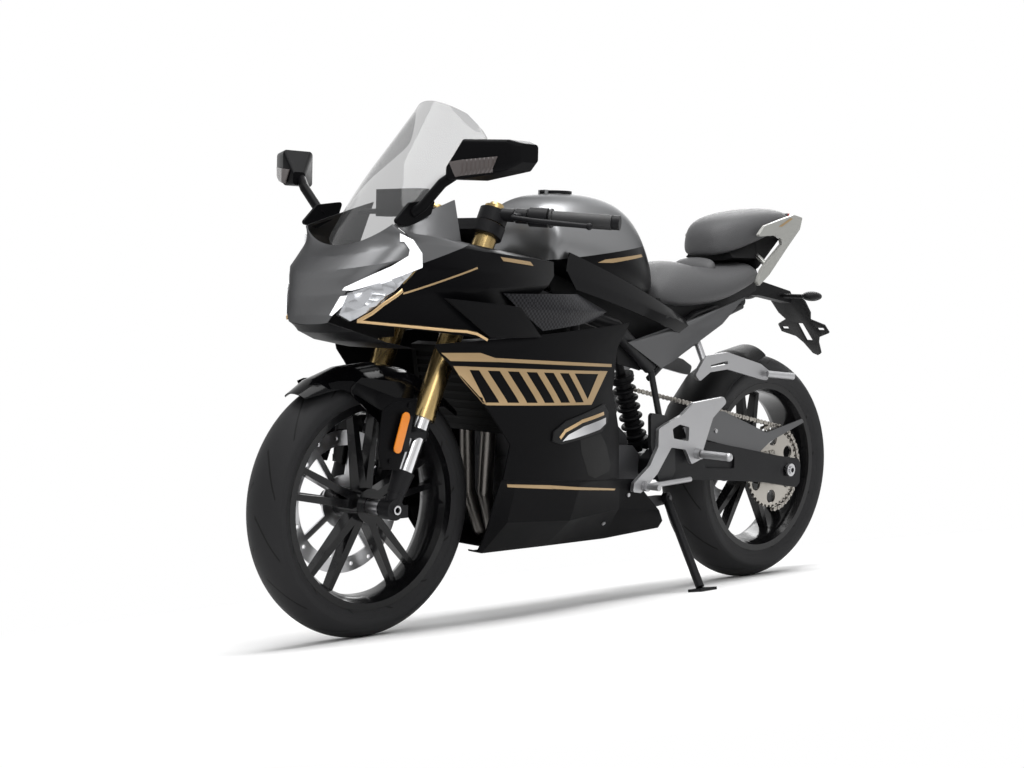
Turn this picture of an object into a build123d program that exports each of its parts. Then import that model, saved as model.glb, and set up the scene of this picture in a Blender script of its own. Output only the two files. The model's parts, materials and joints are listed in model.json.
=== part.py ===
from build123d import *
from math import atan2, cos, degrees, radians, sin, sqrt, tan
import os

# Sport motorcycle, in millimetres. It is modelled upright: X forward, Y to the rider's left, Z up, with the
# origin on the floor under the engine. At the end every piece is leaned onto the side stand.

# ---- driving dimensions -------------------------------------------------------------------------------------
WHEELBASE = 1370             # a longer one moves the rear axle back, on a longer swingarm
FRONT_AXLE_X = 685
RAKE = 24                    # steering axis back from vertical, degrees
FORK_OFFSET = 31             # wheel axle ahead of the steering axis
FORK_SPACING = 200           # between the fork legs' centre lines
LEAN = 10                    # parked lean to the left, degrees

FRONT_TYRE_R = 293
FRONT_TYRE_HALF = 56
REAR_TYRE_R = 306
REAR_TYRE_HALF = 72
TYRE_WALL = 9
RIM_BEAD_R = 229             # 17 inch rim over its flanges
FRONT_RIM_HALF = 44
REAR_RIM_HALF = 60
RIM_WALL = 7
SPOKE_PAIRS = 5

FRONT_AXLE_R = 10
AXLE_BORE_R = 6.5
FRONT_HUB_HALF = 32
FRONT_DISC_R = 160
FRONT_DISC_Y = -62
DISC_THICK = 5
REAR_AXLE_R = 10
REAR_HUB_HALF = 45
REAR_DISC_R = 110
REAR_DISC_Y = -70
CHAIN_Y = 88
CHAIN_WIDTH = 16
CHAIN_HEIGHT = 12
REAR_SPROCKET_R = 115        # at the rollers
FRONT_SPROCKET_R = 36
FRONT_SPROCKET_X = -95
FRONT_SPROCKET_Z = 338

FORK_TUBE_R = 26
SLIDER_R = 20.5
FORK_TOP_Z = 956
GOLD_LOW_Z = 500
YOKE_TOP_Z = 890
YOKE_LOW_Z = 735
YOKE_THICK = 28
STEM_R = 15

SWINGARM_PIVOT_X = -165
SWINGARM_PIVOT_Z = 338
ARM_INNER_Y = 104
ARM_THICK = 42

PANEL_WALL = 4
SCREEN_WALL = 3
RUN = 0.1                    # radial clearance of shafts in their holes
GAP = 0.4                    # between fixed neighbours that don't bear on each other
SEAT_GAP = 0.3               # between a piece and the seat that carries it

FRONT_AXLE = Vector(FRONT_AXLE_X, 0, FRONT_TYRE_R)
REAR_AXLE = Vector(FRONT_AXLE_X - WHEELBASE, 0, REAR_TYRE_R)
SWINGARM_PIVOT = Vector(SWINGARM_PIVOT_X, 0, SWINGARM_PIVOT_Z)
STEER_DIR = Vector(-sin(radians(RAKE)), 0, cos(radians(RAKE)))
STEER_FOOT = FRONT_AXLE - Vector(cos(radians(RAKE)), 0, sin(radians(RAKE))) * FORK_OFFSET


def leg_point(z, y):
    """Point on a fork leg's centre line at height z."""
    return Vector(FRONT_AXLE.X - (z - FRONT_AXLE.Z) * tan(radians(RAKE)), y, z)


def stem_point(z):
    """Point on the steering axis at height z."""
    return Vector(STEER_FOOT.X - (z - STEER_FOOT.Z) * tan(radians(RAKE)), 0, z)


def near(place, *offsets):
    """Side-view points (x, z) at offsets from a named place."""
    return [(place.X + dx, place.Z + dz) for dx, dz in offsets]


# ---- helpers ------------------------------------------------------------------------------------------------
def rod(start, end, radius, end_radius=None):
    """Round bar from start to end, tapering to end_radius if given."""
    start, end = Vector(start), Vector(end)
    plane = Plane(origin=start, z_dir=end - start)
    length = (end - start).length
    if end_radius is None:
        return Solid.make_cylinder(radius, length, plane)
    return Solid.make_cone(radius, end_radius, length, plane)


def pipe(points, radius, bend):
    """Round pipe along straight runs joined by arcs of the bend radius."""
    path = FilletPolyline(*points, radius=bend)
    return sweep(Plane(origin=path @ 0, z_dir=path % 0) * Circle(radius), path=path)


def slab(outline, y_low, y_high, corner=0):
    """Plate with a side-view outline of (x, z) points, between two Y planes."""
    points = [(x, y_low, z) for x, z in outline]
    if corner:
        edge = FilletPolyline(*points, radius=corner, close=True)
    else:
        edge = Polyline(*points, close=True)
    return extrude(make_face(edge), amount=y_high - y_low, dir=(0, 1, 0))


def block(x_low, x_high, y_low, y_high, z_low, z_high):
    """Rectangular block between two corners."""
    centre = ((x_low + x_high) / 2, (y_low + y_high) / 2, (z_low + z_high) / 2)
    return Pos(*centre) * Box(x_high - x_low, y_high - y_low, z_high - z_low)


def sheet_section(front, middle, rear, inward):
    """Closed section of a thin panel: an outer arc, and the same arc moved inward."""
    front, middle, rear, inward = Vector(front), Vector(middle), Vector(rear), Vector(inward)
    edges = [
        ThreePointArc(front, middle, rear),
        Line(rear, rear + inward),
        ThreePointArc(rear + inward, middle + inward, front + inward),
        Line(front + inward, front),
    ]
    return Wire(edges)


def side_panel(levels, wall=PANEL_WALL):
    """Left-hand panel ruled through levels, top to bottom. Each level is an arc seen from above:
    (x_front, z_front, y_front, y_middle, y_rear, x_rear, z_rear)."""
    sections = []
    for x_front, z_front, y_front, y_middle, y_rear, x_rear, z_rear in levels:
        middle = ((x_front + x_rear) / 2, y_middle, (z_front + z_rear) / 2)
        sections.append(sheet_section((x_front, y_front, z_front), middle, (x_rear, y_rear, z_rear),
                                      (0, -wall, 0)))
    return Solid.make_loft(sections, ruled=True)


def cross_panel(levels, wall=PANEL_WALL):
    """Panel across the centre line, ruled through levels. Each level is an arc from the left edge over the
    middle to the right edge: (x_edge, z_edge, half_width, x_middle, z_middle). The wall lies in its plane."""
    sections = []
    for x_edge, z_edge, half, x_middle, z_middle in levels:
        inward = Vector(x_edge - x_middle, 0, z_edge - z_middle).normalized() * wall
        sections.append(sheet_section((x_edge, half, z_edge), (x_middle, 0, z_middle), (x_edge, -half, z_edge),
                                      inward))
    return Solid.make_loft(sections, ruled=True)


def screen_panel(levels, slope, wall):
    """Curved sheet across the centre line, ruled through levels square to its sloping centre line:
    (x_middle, z_middle, half_width, depth of the edges behind the middle)."""
    back = Vector(-sin(radians(slope)), 0, -cos(radians(slope)))
    sections = []
    for x_middle, z_middle, half, depth in levels:
        middle = Vector(x_middle, 0, z_middle)
        edge = middle + back * depth
        sections.append(sheet_section(edge + Vector(0, half, 0), middle, edge - Vector(0, half, 0), back * wall))
    return Solid.make_loft(sections, ruled=True)


def stud(panel, x, z, y_from, radius=7):
    """Round stay along Y from y_from out to just short of a left-hand panel's inner face."""
    touched = (rod((x, y_from, z), (x, 400, z), radius) & panel).bounding_box()
    return rod((x, y_from, z), (x, touched.min.Y - SEAT_GAP, z), radius)


def outer_face(panel, x, z):
    """Y of a left-hand panel's outer face at (x, z)."""
    return (rod((x, 0, z), (x, 400, z), 1) & panel).bounding_box().max.Y


def both_sides(*shapes):
    """The shapes of the left side with their mirror images."""
    out = []
    for shape in shapes:
        out.append(shape)
        out.append(mirror(shape, Plane.XZ))
    return out


def hull_loft(stations, ruled=True):
    """Solid through sections square to X. Each station is (x, [(y, z), ...]) for the left half, from the
    bottom centre up to the top centre; the right half is its mirror image."""
    sections = []
    for x, half in stations:
        left = [(x, y, z) for y, z in half]
        right = [(x, -y, z) for y, z in reversed(half) if y > 0]
        sections.append(Wire(Polyline(*left, *right, close=True).edges()))
    return Solid.make_loft(sections, ruled=ruled)


def ring_about_y(outline, centre):
    """Ring turned about an axle along Y; the outline is a face in (radius, y)."""
    plane = Plane(origin=centre, x_dir=(0, 0, 1), z_dir=(1, 0, 0))
    return revolve(plane * outline, axis=Axis(centre, (0, 1, 0)))


def disc_about_y(centre, radius, y_low, y_high):
    """Plain disc or boss about an axle along Y."""
    return rod((centre.X, y_low, centre.Z), (centre.X, y_high, centre.Z), radius)


# ---- wheels -------------------------------------------------------------------------------------------------
def tyre(centre, radius, half, rim_half):
    """Tyre: sidewalls and crown as arcs round an open carcass."""
    bead = RIM_BEAD_R + GAP
    shoulder = radius - 0.52 * half
    seat = rim_half - RIM_WALL
    outer = [
        Line((bead, seat), (bead, rim_half)),
        ThreePointArc((bead, rim_half), ((bead + shoulder) / 2, half - 3), (shoulder, half)),
        ThreePointArc((shoulder, half), (radius, 0), (shoulder, -half)),
        ThreePointArc((shoulder, -half), ((bead + shoulder) / 2, -half + 3), (bead, -rim_half)),
        Line((bead, -rim_half), (bead, -seat)),
        ThreePointArc((bead, -seat), (radius - TYRE_WALL, 0), (bead, seat)),
    ]
    return ring_about_y(make_face(Wire(outer)), centre)


def crown_radius(radius, half):
    """Radius of a tyre's crown arc across its width."""
    drop = 0.52 * half
    return (half * half + drop * drop) / (2 * drop)


def spoke(centre, angle, side, inner_r, outer_r, root_half, tip_half):
    """One spoke of a pair, splayed from its neighbour towards the rim."""
    splay = 9 * side
    along = radians(angle)
    across = radians(angle + splay)
    root = (inner_r * cos(along) + 7 * side * -sin(along), inner_r * sin(along) + 7 * side * cos(along))
    tip = (outer_r * cos(across), outer_r * sin(across))
    run = Vector(tip[0] - root[0], 0, tip[1] - root[1])
    start = Vector(centre.X + root[0], 0, centre.Z + root[1])
    plane = Plane(origin=start, x_dir=(0, 1, 0), z_dir=run)
    end = Plane(origin=start + run, x_dir=(0, 1, 0), z_dir=run)
    sections = [plane * Rectangle(2 * root_half, 20), end * Rectangle(2 * tip_half, 13)]
    return loft(sections)


def rim(centre, rim_half, hub_half, hub_r, bore_r, first_angle):
    """Cast wheel: barrel with flanges, hub and five pairs of spokes."""
    well = RIM_BEAD_R - 22
    outline = Polyline(
        (RIM_BEAD_R, rim_half), (RIM_BEAD_R, rim_half - RIM_WALL), (RIM_BEAD_R - 8, rim_half - RIM_WALL - 2),
        (RIM_BEAD_R - 9, rim_half - 22), (well, rim_half - 30), (well, -rim_half + 30),
        (RIM_BEAD_R - 9, -rim_half + 22), (RIM_BEAD_R - 8, -rim_half + RIM_WALL + 2),
        (RIM_BEAD_R, -rim_half + RIM_WALL), (RIM_BEAD_R, -rim_half), (RIM_BEAD_R - 16, -rim_half + 1),
        (well - RIM_WALL, -rim_half + 27), (well - RIM_WALL, rim_half - 27), (RIM_BEAD_R - 16, rim_half - 1),
        close=True)
    barrel = ring_about_y(make_face(outline), centre)
    hub = disc_about_y(centre, hub_r, -hub_half, hub_half)
    for pair in range(SPOKE_PAIRS):
        for side in (-1, 1):
            angle = first_angle + pair * 360 / SPOKE_PAIRS
            hub += spoke(centre, angle, side, hub_r - 6, well - RIM_WALL + 3, 17, 11)
    wheel = barrel + hub
    return wheel - disc_about_y(centre, bore_r, -hub_half - 1, hub_half + 1)


def brake_disc(centre, radius, y_middle, carrier_r, hub_r, arms):
    """Brake disc: a ring with a row of holes, on a carrier with arms."""
    low, high = y_middle - DISC_THICK / 2, y_middle + DISC_THICK / 2
    inner = radius - 34
    ring = disc_about_y(centre, radius, low, high) - disc_about_y(centre, inner, low - 1, high + 1)
    for step in range(18):
        angle = radians(step * 20)
        hole_r = radius - 10 - 7 * (step % 3)
        x, z = centre.X + hole_r * cos(angle), centre.Z + hole_r * sin(angle)
        ring -= rod((x, low - 1, z), (x, high + 1, z), 4.5)
    carrier = disc_about_y(centre, carrier_r, low, high)
    for step in range(arms):
        angle = radians(step * 360 / arms + 10)
        end = (centre.X + (inner + 4) * cos(angle), 0, centre.Z + (inner + 4) * sin(angle))
        start = (centre.X + (carrier_r - 4) * cos(angle), 0, centre.Z + (carrier_r - 4) * sin(angle))
        run = Vector(end) - Vector(start)
        plane = Plane(origin=Vector(start) + Vector(0, y_middle, 0), x_dir=(0, 1, 0), z_dir=run)
        carrier += extrude(plane * Rectangle(DISC_THICK, 14), run.length)
    return ring + carrier - disc_about_y(centre, hub_r, low - 1, high + 1)


front_tyre = tyre(FRONT_AXLE, FRONT_TYRE_R, FRONT_TYRE_HALF, FRONT_RIM_HALF)
rear_tyre = tyre(REAR_AXLE, REAR_TYRE_R, REAR_TYRE_HALF, REAR_RIM_HALF)
front_rim = rim(FRONT_AXLE, FRONT_RIM_HALF, FRONT_HUB_HALF, 38, FRONT_AXLE_R + RUN, 90)
rear_rim = rim(REAR_AXLE, REAR_RIM_HALF, REAR_HUB_HALF, 48, REAR_AXLE_R + RUN, 90)

# the discs are bolted to rings on the hubs
FRONT_SEAT = disc_about_y(FRONT_AXLE, 34, FRONT_DISC_Y + DISC_THICK / 2, -FRONT_HUB_HALF + 2)
front_rim += FRONT_SEAT - disc_about_y(FRONT_AXLE, FRONT_AXLE_R + RUN, -100, 0)
front_disc = brake_disc(FRONT_AXLE, FRONT_DISC_R, FRONT_DISC_Y, 60, FRONT_AXLE_R + 12, 8)
REAR_SEAT = disc_about_y(REAR_AXLE, 40, REAR_DISC_Y + DISC_THICK / 2, -REAR_HUB_HALF + 2)
rear_rim += REAR_SEAT - disc_about_y(REAR_AXLE, REAR_AXLE_R + RUN, -100, 0)
rear_disc = brake_disc(REAR_AXLE, REAR_DISC_R, REAR_DISC_Y, 52, REAR_AXLE_R + 12, 6)


# ---- chain drive --------------------------------------------------------------------------------------------
def sprocket(centre, pitch_r, teeth, y_middle, bore_r):
    """Toothed wheel with lightening holes; the tooth tips stay inside the rollers."""
    tip = pitch_r - CHAIN_HEIGHT / 2 - 1.5
    root = tip - 6
    points = []
    for tooth in range(teeth):
        for share, radius in ((-0.28, root), (-0.1, tip), (0.1, tip), (0.28, root)):
            angle = radians((tooth + share) * 360 / teeth)
            points.append((centre.X + radius * cos(angle), centre.Z + radius * sin(angle)))
    wheel = slab(points, y_middle - 3.5, y_middle + 3.5)
    for step in range(6):
        angle = radians(step * 60 + 30)
        x, z = centre.X + 0.68 * pitch_r * cos(angle), centre.Z + 0.68 * pitch_r * sin(angle)
        wheel -= rod((x, y_middle - 5, z), (x, y_middle + 5, z), 0.16 * pitch_r)
    return wheel - disc_about_y(centre, bore_r, y_middle - 5, y_middle + 5)


FRONT_SPROCKET = Vector(FRONT_SPROCKET_X, 0, FRONT_SPROCKET_Z)
rear_sprocket = sprocket(REAR_AXLE, REAR_SPROCKET_R, 40, CHAIN_Y, REAR_AXLE_R + 12)
SPROCKET_SEAT = disc_about_y(REAR_AXLE, 40, REAR_HUB_HALF - 2, CHAIN_Y - 3.5)
rear_rim += SPROCKET_SEAT - disc_about_y(REAR_AXLE, REAR_AXLE_R + RUN, 0, 100)


def chain_outline(offset):
    """Closed path round both sprockets, offset from the roller line."""
    gap = FRONT_SPROCKET - REAR_AXLE
    base = atan2(gap.Z, gap.X)
    swing = radians(90) + atan2(REAR_SPROCKET_R - FRONT_SPROCKET_R, gap.length) * -1
    rear_r, front_r = REAR_SPROCKET_R + offset, FRONT_SPROCKET_R + offset

    def at(centre, radius, angle):
        return (centre.X + radius * cos(angle), CHAIN_Y, centre.Z + radius * sin(angle))

    top_rear, low_rear = at(REAR_AXLE, rear_r, base + swing), at(REAR_AXLE, rear_r, base - swing)
    top_front, low_front = at(FRONT_SPROCKET, front_r, base + swing), at(FRONT_SPROCKET, front_r, base - swing)
    return Wire([
        Line(top_rear, top_front),
        ThreePointArc(top_front, at(FRONT_SPROCKET, front_r, base), low_front),
        Line(low_front, low_rear),
        ThreePointArc(low_rear, at(REAR_AXLE, rear_r, base + radians(180)), top_rear),
    ])


chain_loop = Face(chain_outline(CHAIN_HEIGHT / 2), [chain_outline(-CHAIN_HEIGHT / 2)])
drive_chain = extrude(chain_loop, amount=CHAIN_WIDTH / 2, dir=(0, 1, 0), both=True)


# ---- fork, yokes and front axle -----------------------------------------------------------------------------
LEG_Y = FORK_SPACING / 2
FOOT_TOP_Z = 372
FOOT_INNER_Y = 80
AXLE_END_Y = 124

fork_tubes = []
fork_sliders = []
axle_feet = []
for y in (LEG_Y, -LEG_Y):
    gold = rod(leg_point(GOLD_LOW_Z, y), leg_point(FORK_TOP_Z, y), FORK_TUBE_R)
    collar = rod(leg_point(GOLD_LOW_Z - 14, y), leg_point(GOLD_LOW_Z, y), FORK_TUBE_R + 1.5)
    cap = rod(leg_point(FORK_TOP_Z, y), leg_point(FORK_TOP_Z + 8, y), 19, 16)
    bore = rod(leg_point(GOLD_LOW_Z - 30, y), leg_point(GOLD_LOW_Z + 90, y), SLIDER_R + RUN)
    fork_tubes.append(gold + collar + cap - bore)
    fork_sliders.append(rod(leg_point(FOOT_TOP_Z, y), leg_point(GOLD_LOW_Z + 80, y), SLIDER_R))
    foot = rod(leg_point(FOOT_TOP_Z - 46, y), leg_point(FOOT_TOP_Z, y), 20, 25)
    side = 1 if y > 0 else -1
    boss = disc_about_y(FRONT_AXLE, 23, min(side * FOOT_INNER_Y, side * (LEG_Y + 18)),
                        max(side * FOOT_INNER_Y, side * (LEG_Y + 18)))
    neck = rod(leg_point(FRONT_AXLE.Z, y), leg_point(FOOT_TOP_Z - 40, y), 19)
    pinch = block(FRONT_AXLE.X - 40, FRONT_AXLE.X - 8, y - 12, y + 12, FRONT_AXLE.Z - 20, FRONT_AXLE.Z + 8)
    foot = foot + boss + neck + pinch
    foot -= disc_about_y(FRONT_AXLE, FRONT_AXLE_R + RUN, -200, 200)
    axle_feet.append(foot)

front_axle = disc_about_y(FRONT_AXLE, FRONT_AXLE_R, -AXLE_END_Y, AXLE_END_Y)
front_axle += disc_about_y(FRONT_AXLE, 17, FRONT_HUB_HALF + 1, FOOT_INNER_Y - 0.3)
front_axle += disc_about_y(FRONT_AXLE, 17, -FOOT_INNER_Y + 0.3, FRONT_DISC_Y - DISC_THICK / 2 - 1)
front_axle -= disc_about_y(FRONT_AXLE, AXLE_BORE_R, -AXLE_END_Y - 1, AXLE_END_Y + 1)


def yoke(z, thick, bar_r):
    """Fork clamp plate between both legs and the stem, square to the steering axis."""
    centre = stem_point(z)
    plane = Plane(origin=centre, x_dir=(0, 1, 0), z_dir=STEER_DIR)
    to_legs = (leg_point(z, 0) - centre)
    reach = to_legs.length
    ahead = -reach if plane.to_local_coords(centre + to_legs).Y < 0 else reach
    outline = make_hull([
        *(Pos(LEG_Y, ahead) * Circle(bar_r + 12)).edges(),
        *(Pos(-LEG_Y, ahead) * Circle(bar_r + 12)).edges(),
        *(Circle(STEM_R + 14)).edges()])
    return extrude(plane * outline, thick / 2, both=True)


upper_yoke = yoke(YOKE_TOP_Z, YOKE_THICK, FORK_TUBE_R)
lower_yoke = yoke(YOKE_LOW_Z, YOKE_THICK + 6, FORK_TUBE_R)
stem = rod(stem_point(YOKE_LOW_Z), stem_point(YOKE_TOP_Z + 24), STEM_R)
steering_yokes = upper_yoke + lower_yoke + stem
for y in (LEG_Y, -LEG_Y):
    steering_yokes -= rod(leg_point(YOKE_LOW_Z - 40, y), leg_point(YOKE_TOP_Z + 40, y), FORK_TUBE_R + RUN)

# ---- handlebars and controls --------------------------------------------------------------------------------
BAR_INNER = Vector(leg_point(938, 0).X - 4, 128, 940)
BAR_OUTER = Vector(262, 352, 926)
BAR_R = 11
GRIP_R = 17


def bar_point(share):
    """Point along the left handlebar, 0 at the clamp and 1 at the end."""
    return BAR_INNER + (BAR_OUTER - BAR_INNER) * share


bar_clamp = rod(leg_point(919, LEG_Y), leg_point(948, LEG_Y), FORK_TUBE_R + 8)
bar_neck = rod(bar_point(-0.02), bar_point(0.1), 15)
bar_clamp = bar_clamp + bar_neck + rod(bar_point(0), bar_point(1.0), BAR_R)
bar_clamp += rod(bar_point(0.965), bar_point(1.03), GRIP_R - 1)
bar_clamp -= rod(leg_point(900, LEG_Y), leg_point(970, LEG_Y), FORK_TUBE_R + RUN)
handlebars = both_sides(bar_clamp)

grip = rod(bar_point(0.44), bar_point(0.96), GRIP_R) + rod(bar_point(0.42), bar_point(0.44), GRIP_R + 5)
grip -= rod(bar_point(0.3), bar_point(1.1), BAR_R + RUN)
grips = both_sides(grip)

switch_box = rod(bar_point(0.24), bar_point(0.4), 22) - rod(bar_point(0.1), bar_point(0.6), BAR_R + RUN)
perch = rod(bar_point(0.12), bar_point(0.22), 17) + rod(bar_point(0.17), bar_point(0.17) + Vector(34, 6, -4), 9)
perch -= rod(bar_point(0.0), bar_point(0.4), BAR_R + RUN)
lever_root = bar_point(0.17) + Vector(40, 8, -5)
lever_bend = bar_point(0.4) + Vector(56, 6, -8)
lever_tip = bar_point(0.88) + Vector(44, 0, -12)
lever = pipe([lever_root, lever_bend, lever_tip], 5.5, 40) + Pos(*lever_tip) * Sphere(8)
lever += rod(lever_root, lever_root + Vector(-12, -3, 1.5), 7)
reservoir_foot = Vector(lever_root.X + 2, -lever_root.Y + 10, lever_root.Z + 30)
reservoir = Pos(*(reservoir_foot + Vector(0, 0, 14))) * Cylinder(18, 36)
reservoir_stem = rod((lever_root.X, -lever_root.Y, lever_root.Z), reservoir_foot, 6)
hand_controls = both_sides(switch_box) + [perch + lever, mirror(perch + lever, Plane.XZ) + reservoir + reservoir_stem]

# ---- front mudguard -----------------------------------------------------------------------------------------
GUARD_R = FRONT_TYRE_R + 22
GUARD_WALL = 3.5
GUARD_HALF = 68


def guard_arc(radius, start, end, half_width, wall, centre):
    """Curved strip round a wheel from start to end degrees, measured up from straight ahead."""
    plane = Plane(origin=centre, x_dir=(1, 0, 0), z_dir=(0, -1, 0))
    outer = CenterArc((0, 0), radius, start, end - start)
    inner = CenterArc((0, 0), radius - wall, start, end - start)
    face = make_face([outer, inner, Line(outer @ 0, inner @ 0), Line(outer @ 1, inner @ 1)])
    return extrude(plane * face, half_width, both=True)


def guard_section(centre, radius, half, drop, wall, angle):
    """Arched section of a mudguard at an angle round its wheel, turned out from the axle."""
    out = Vector(cos(radians(angle)), 0, sin(radians(angle)))
    left = centre + out * (radius - drop) + Vector(0, half, 0)
    top = centre + out * radius
    right = centre + out * (radius - drop) - Vector(0, half, 0)
    return sheet_section(left, top, right, out * -wall)


def mudguard(centre, table, wall):
    """Arched strip ruled through sections: (angle, radius, half width, drop at the edges)."""
    return Solid.make_loft([guard_section(centre, r, half, drop, wall, a) for a, r, half, drop in table],
                           ruled=True)


guard_top = mudguard(FRONT_AXLE, [
    (52, GUARD_R + 4, 34, 12), (62, GUARD_R + 2, 56, 24), (76, GUARD_R, 66, 36), (92, GUARD_R, 70, 44),
    (108, GUARD_R + 2, 70, 46), (124, GUARD_R + 6, 66, 40), (140, GUARD_R + 12, 56, 26)], GUARD_WALL)
GUARD_SIDE_Y = -FRONT_DISC_Y + DISC_THICK / 2 + 5.5
guard_side = slab(near(FRONT_AXLE, (67, 285), (-45, 273), (-85, 252), (-45, 102), (-13, 79), (21, 91), (15, 187),
                       (105, 259)), GUARD_SIDE_Y - 4.5, GUARD_SIDE_Y + 4.5, 12)
guard_side -= block(FRONT_AXLE.X - 120, FRONT_AXLE.X + 140, 0, GUARD_SIDE_Y, 0, FRONT_AXLE.Z + 234)
guard_side -= disc_about_y(FRONT_AXLE, GUARD_R - 42, 0, GUARD_SIDE_Y) - block(
    FRONT_AXLE.X - 120, FRONT_AXLE.X + 140, 0, GUARD_SIDE_Y, 0, FRONT_AXLE.Z + 234)
for z in (FRONT_AXLE.Z + 98, FRONT_AXLE.Z + 134):
    x = leg_point(z, 0).X
    guard_side += block(x - 7, x + 62, GUARD_SIDE_Y, LEG_Y - SLIDER_R - SEAT_GAP, z - 8, z + 8)
front_mudguard = guard_top + guard_side + mirror(guard_side, Plane.XZ)

REFLECTOR_Z = 459
reflector_place = leg_point(REFLECTOR_Z, 0) + Vector(59, 0, 0)
reflector = slab(near(reflector_place, (-14, 39), (2, 39), (14, -39), (-2, -39)), 127, 135, 7)
reflector_ring = rod(leg_point(REFLECTOR_Z - 13, LEG_Y), leg_point(REFLECTOR_Z + 3, LEG_Y), SLIDER_R + 4)
reflector_arm = block(reflector_place.X - 58, reflector_place.X + 2, LEG_Y + 14, 127.5, REFLECTOR_Z - 11, REFLECTOR_Z + 1)
reflector_ring += reflector_arm + reflector
reflector_ring -= rod(leg_point(REFLECTOR_Z - 40, LEG_Y), leg_point(REFLECTOR_Z + 30, LEG_Y), SLIDER_R + RUN)
fork_reflectors = both_sides(reflector_ring)

# ---- front brake --------------------------------------------------------------------------------------------
caliper = slab(near(FRONT_AXLE, (-155, -1), (-125, -17), (-93, 3), (-87, 57), (-105, 99), (-137, 95), (-157, 57)),
               FRONT_DISC_Y - 26, FRONT_DISC_Y + 24, 10)
caliper -= disc_about_y(FRONT_AXLE, FRONT_DISC_R + 3, FRONT_DISC_Y - 5, FRONT_DISC_Y + 5)
bracket = slab(near(FRONT_AXLE, (-95, 7), (-85, 47), (-45, 37), (-30, 25), (-30, -1), (-55, -13)),
               FRONT_DISC_Y - 26, FRONT_DISC_Y - 16, 8)
bracket -= disc_about_y(FRONT_AXLE, 24, -100, -50)
front_caliper = caliper + bracket

# ---- rear axle, swingarm and rear brake ---------------------------------------------------------------------
ARM_OUTER_Y = ARM_INNER_Y + ARM_THICK
rear_axle = disc_about_y(REAR_AXLE, REAR_AXLE_R, -ARM_OUTER_Y - 14, ARM_OUTER_Y + 14)
rear_axle += disc_about_y(REAR_AXLE, 19, CHAIN_Y + 5, ARM_INNER_Y - 0.3)
rear_axle += disc_about_y(REAR_AXLE, 19, -ARM_INNER_Y + 0.3, REAR_DISC_Y - 4)
rear_axle += disc_about_y(REAR_AXLE, 17, ARM_OUTER_Y + 0.3, ARM_OUTER_Y + 10)
rear_axle += disc_about_y(REAR_AXLE, 17, -ARM_OUTER_Y - 10, -ARM_OUTER_Y - 0.3)
rear_axle -= disc_about_y(REAR_AXLE, AXLE_BORE_R, -ARM_OUTER_Y - 20, ARM_OUTER_Y + 20)

arm_front_top = near(SWINGARM_PIVOT, (45, 24), (15, 46), (-135, 66), (-305, 38))
arm_front_low = near(SWINGARM_PIVOT, (-265, -46), (-105, -34), (35, -26))
arm_rear = near(REAR_AXLE, (45, 40), (-43, 28), (-55, 12), (-53, -38), (-37, -50), (85, -30))
arm = slab(arm_front_top + arm_rear + arm_front_low, ARM_INNER_Y, ARM_OUTER_Y, 9)
arm -= slab(near(SWINGARM_PIVOT, (-165, 38), (-285, 16), (-285, -16), (-165, -8)), ARM_OUTER_Y - 6, ARM_OUTER_Y + 5, 6)
arm -= slab(near(REAR_AXLE, (23, 12), (-31, 12), (-31, -16), (23, -16)), ARM_OUTER_Y - 5, ARM_OUTER_Y + 5, 8)
arm -= disc_about_y(REAR_AXLE, REAR_AXLE_R + RUN, 0, 300)
BEAM_TOP = 24                # above the pivot
beam = slab(near(SWINGARM_PIVOT, (15, 12), (-15, BEAM_TOP), (-165, BEAM_TOP), (-180, 12), (-180, -38), (-165, -46),
                 (-15, -30), (15, -18)), -ARM_INNER_Y - 1, ARM_INNER_Y + 1, 8)
swingarm = arm + mirror(arm, Plane.XZ) + beam
swingarm -= disc_about_y(SWINGARM_PIVOT, REAR_AXLE_R + RUN, -300, 300)

rear_caliper = slab(near(REAR_AXLE, (85, 86), (125, 74), (140, 34), (115, 16), (73, 28)), REAR_DISC_Y - 26,
                    REAR_DISC_Y + 22, 8)
rear_caliper -= disc_about_y(REAR_AXLE, REAR_DISC_R + 3, REAR_DISC_Y - 5, REAR_DISC_Y + 5)
rear_caliper += slab(near(REAR_AXLE, (69, 12), (119, 26), (119, 46), (-5, 28), (-5, -16), (35, -22)),
                     REAR_DISC_Y - 30, REAR_DISC_Y - 20, 6)
rear_caliper -= disc_about_y(REAR_AXLE, 20, -110, -80)

# ---- frame --------------------------------------------------------------------------------------------------
SPAR_R = 19
PLATE_Y = ARM_OUTER_Y + 1
PLATE_THICK = 10
HEAD_TUBE_R = 30
ENGINE_HALF = 105


def bar_line(points, radius):
    """Tube through points with ball joints at the bends."""
    line = rod(points[0], points[1], radius)
    for start, end in zip(points[1:], points[2:]):
        line += Pos(*start) * Sphere(radius)
        line += rod(start, end, radius)
    return line


head_low, head_top = stem_point(YOKE_LOW_Z + 24), stem_point(YOKE_TOP_Z - 22)
SPAR_HEAD_Z = 815
SPAR_HEAD = stem_point(SPAR_HEAD_Z) + Vector(-14.7, 22, 0)
SPAR_KNEE = Vector(300, 92, 772)
SPAR = [SPAR_HEAD, SPAR_KNEE, (0, 118, 690), (-130, 124, 590), (-150, 149, 440)]
left_frame = bar_line(SPAR[:4], SPAR_R) + bar_line(SPAR[3:5], 8) + bar_line([SPAR[3], (-140, 0, 610)], 13)
left_frame += slab([(-100, 480), (-165, 470), (-196, 380), (-200, 330), (-180, 306), (-140, 306), (-118, 350),
                    (-104, 400)], PLATE_Y, PLATE_Y + PLATE_THICK, 10)
DOWN_TUBE = [(SPAR_HEAD + SPAR_KNEE) * 0.5, (338, 118, 700), (330, 122, 585)]
left_frame += bar_line(DOWN_TUBE, 13)
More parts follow.
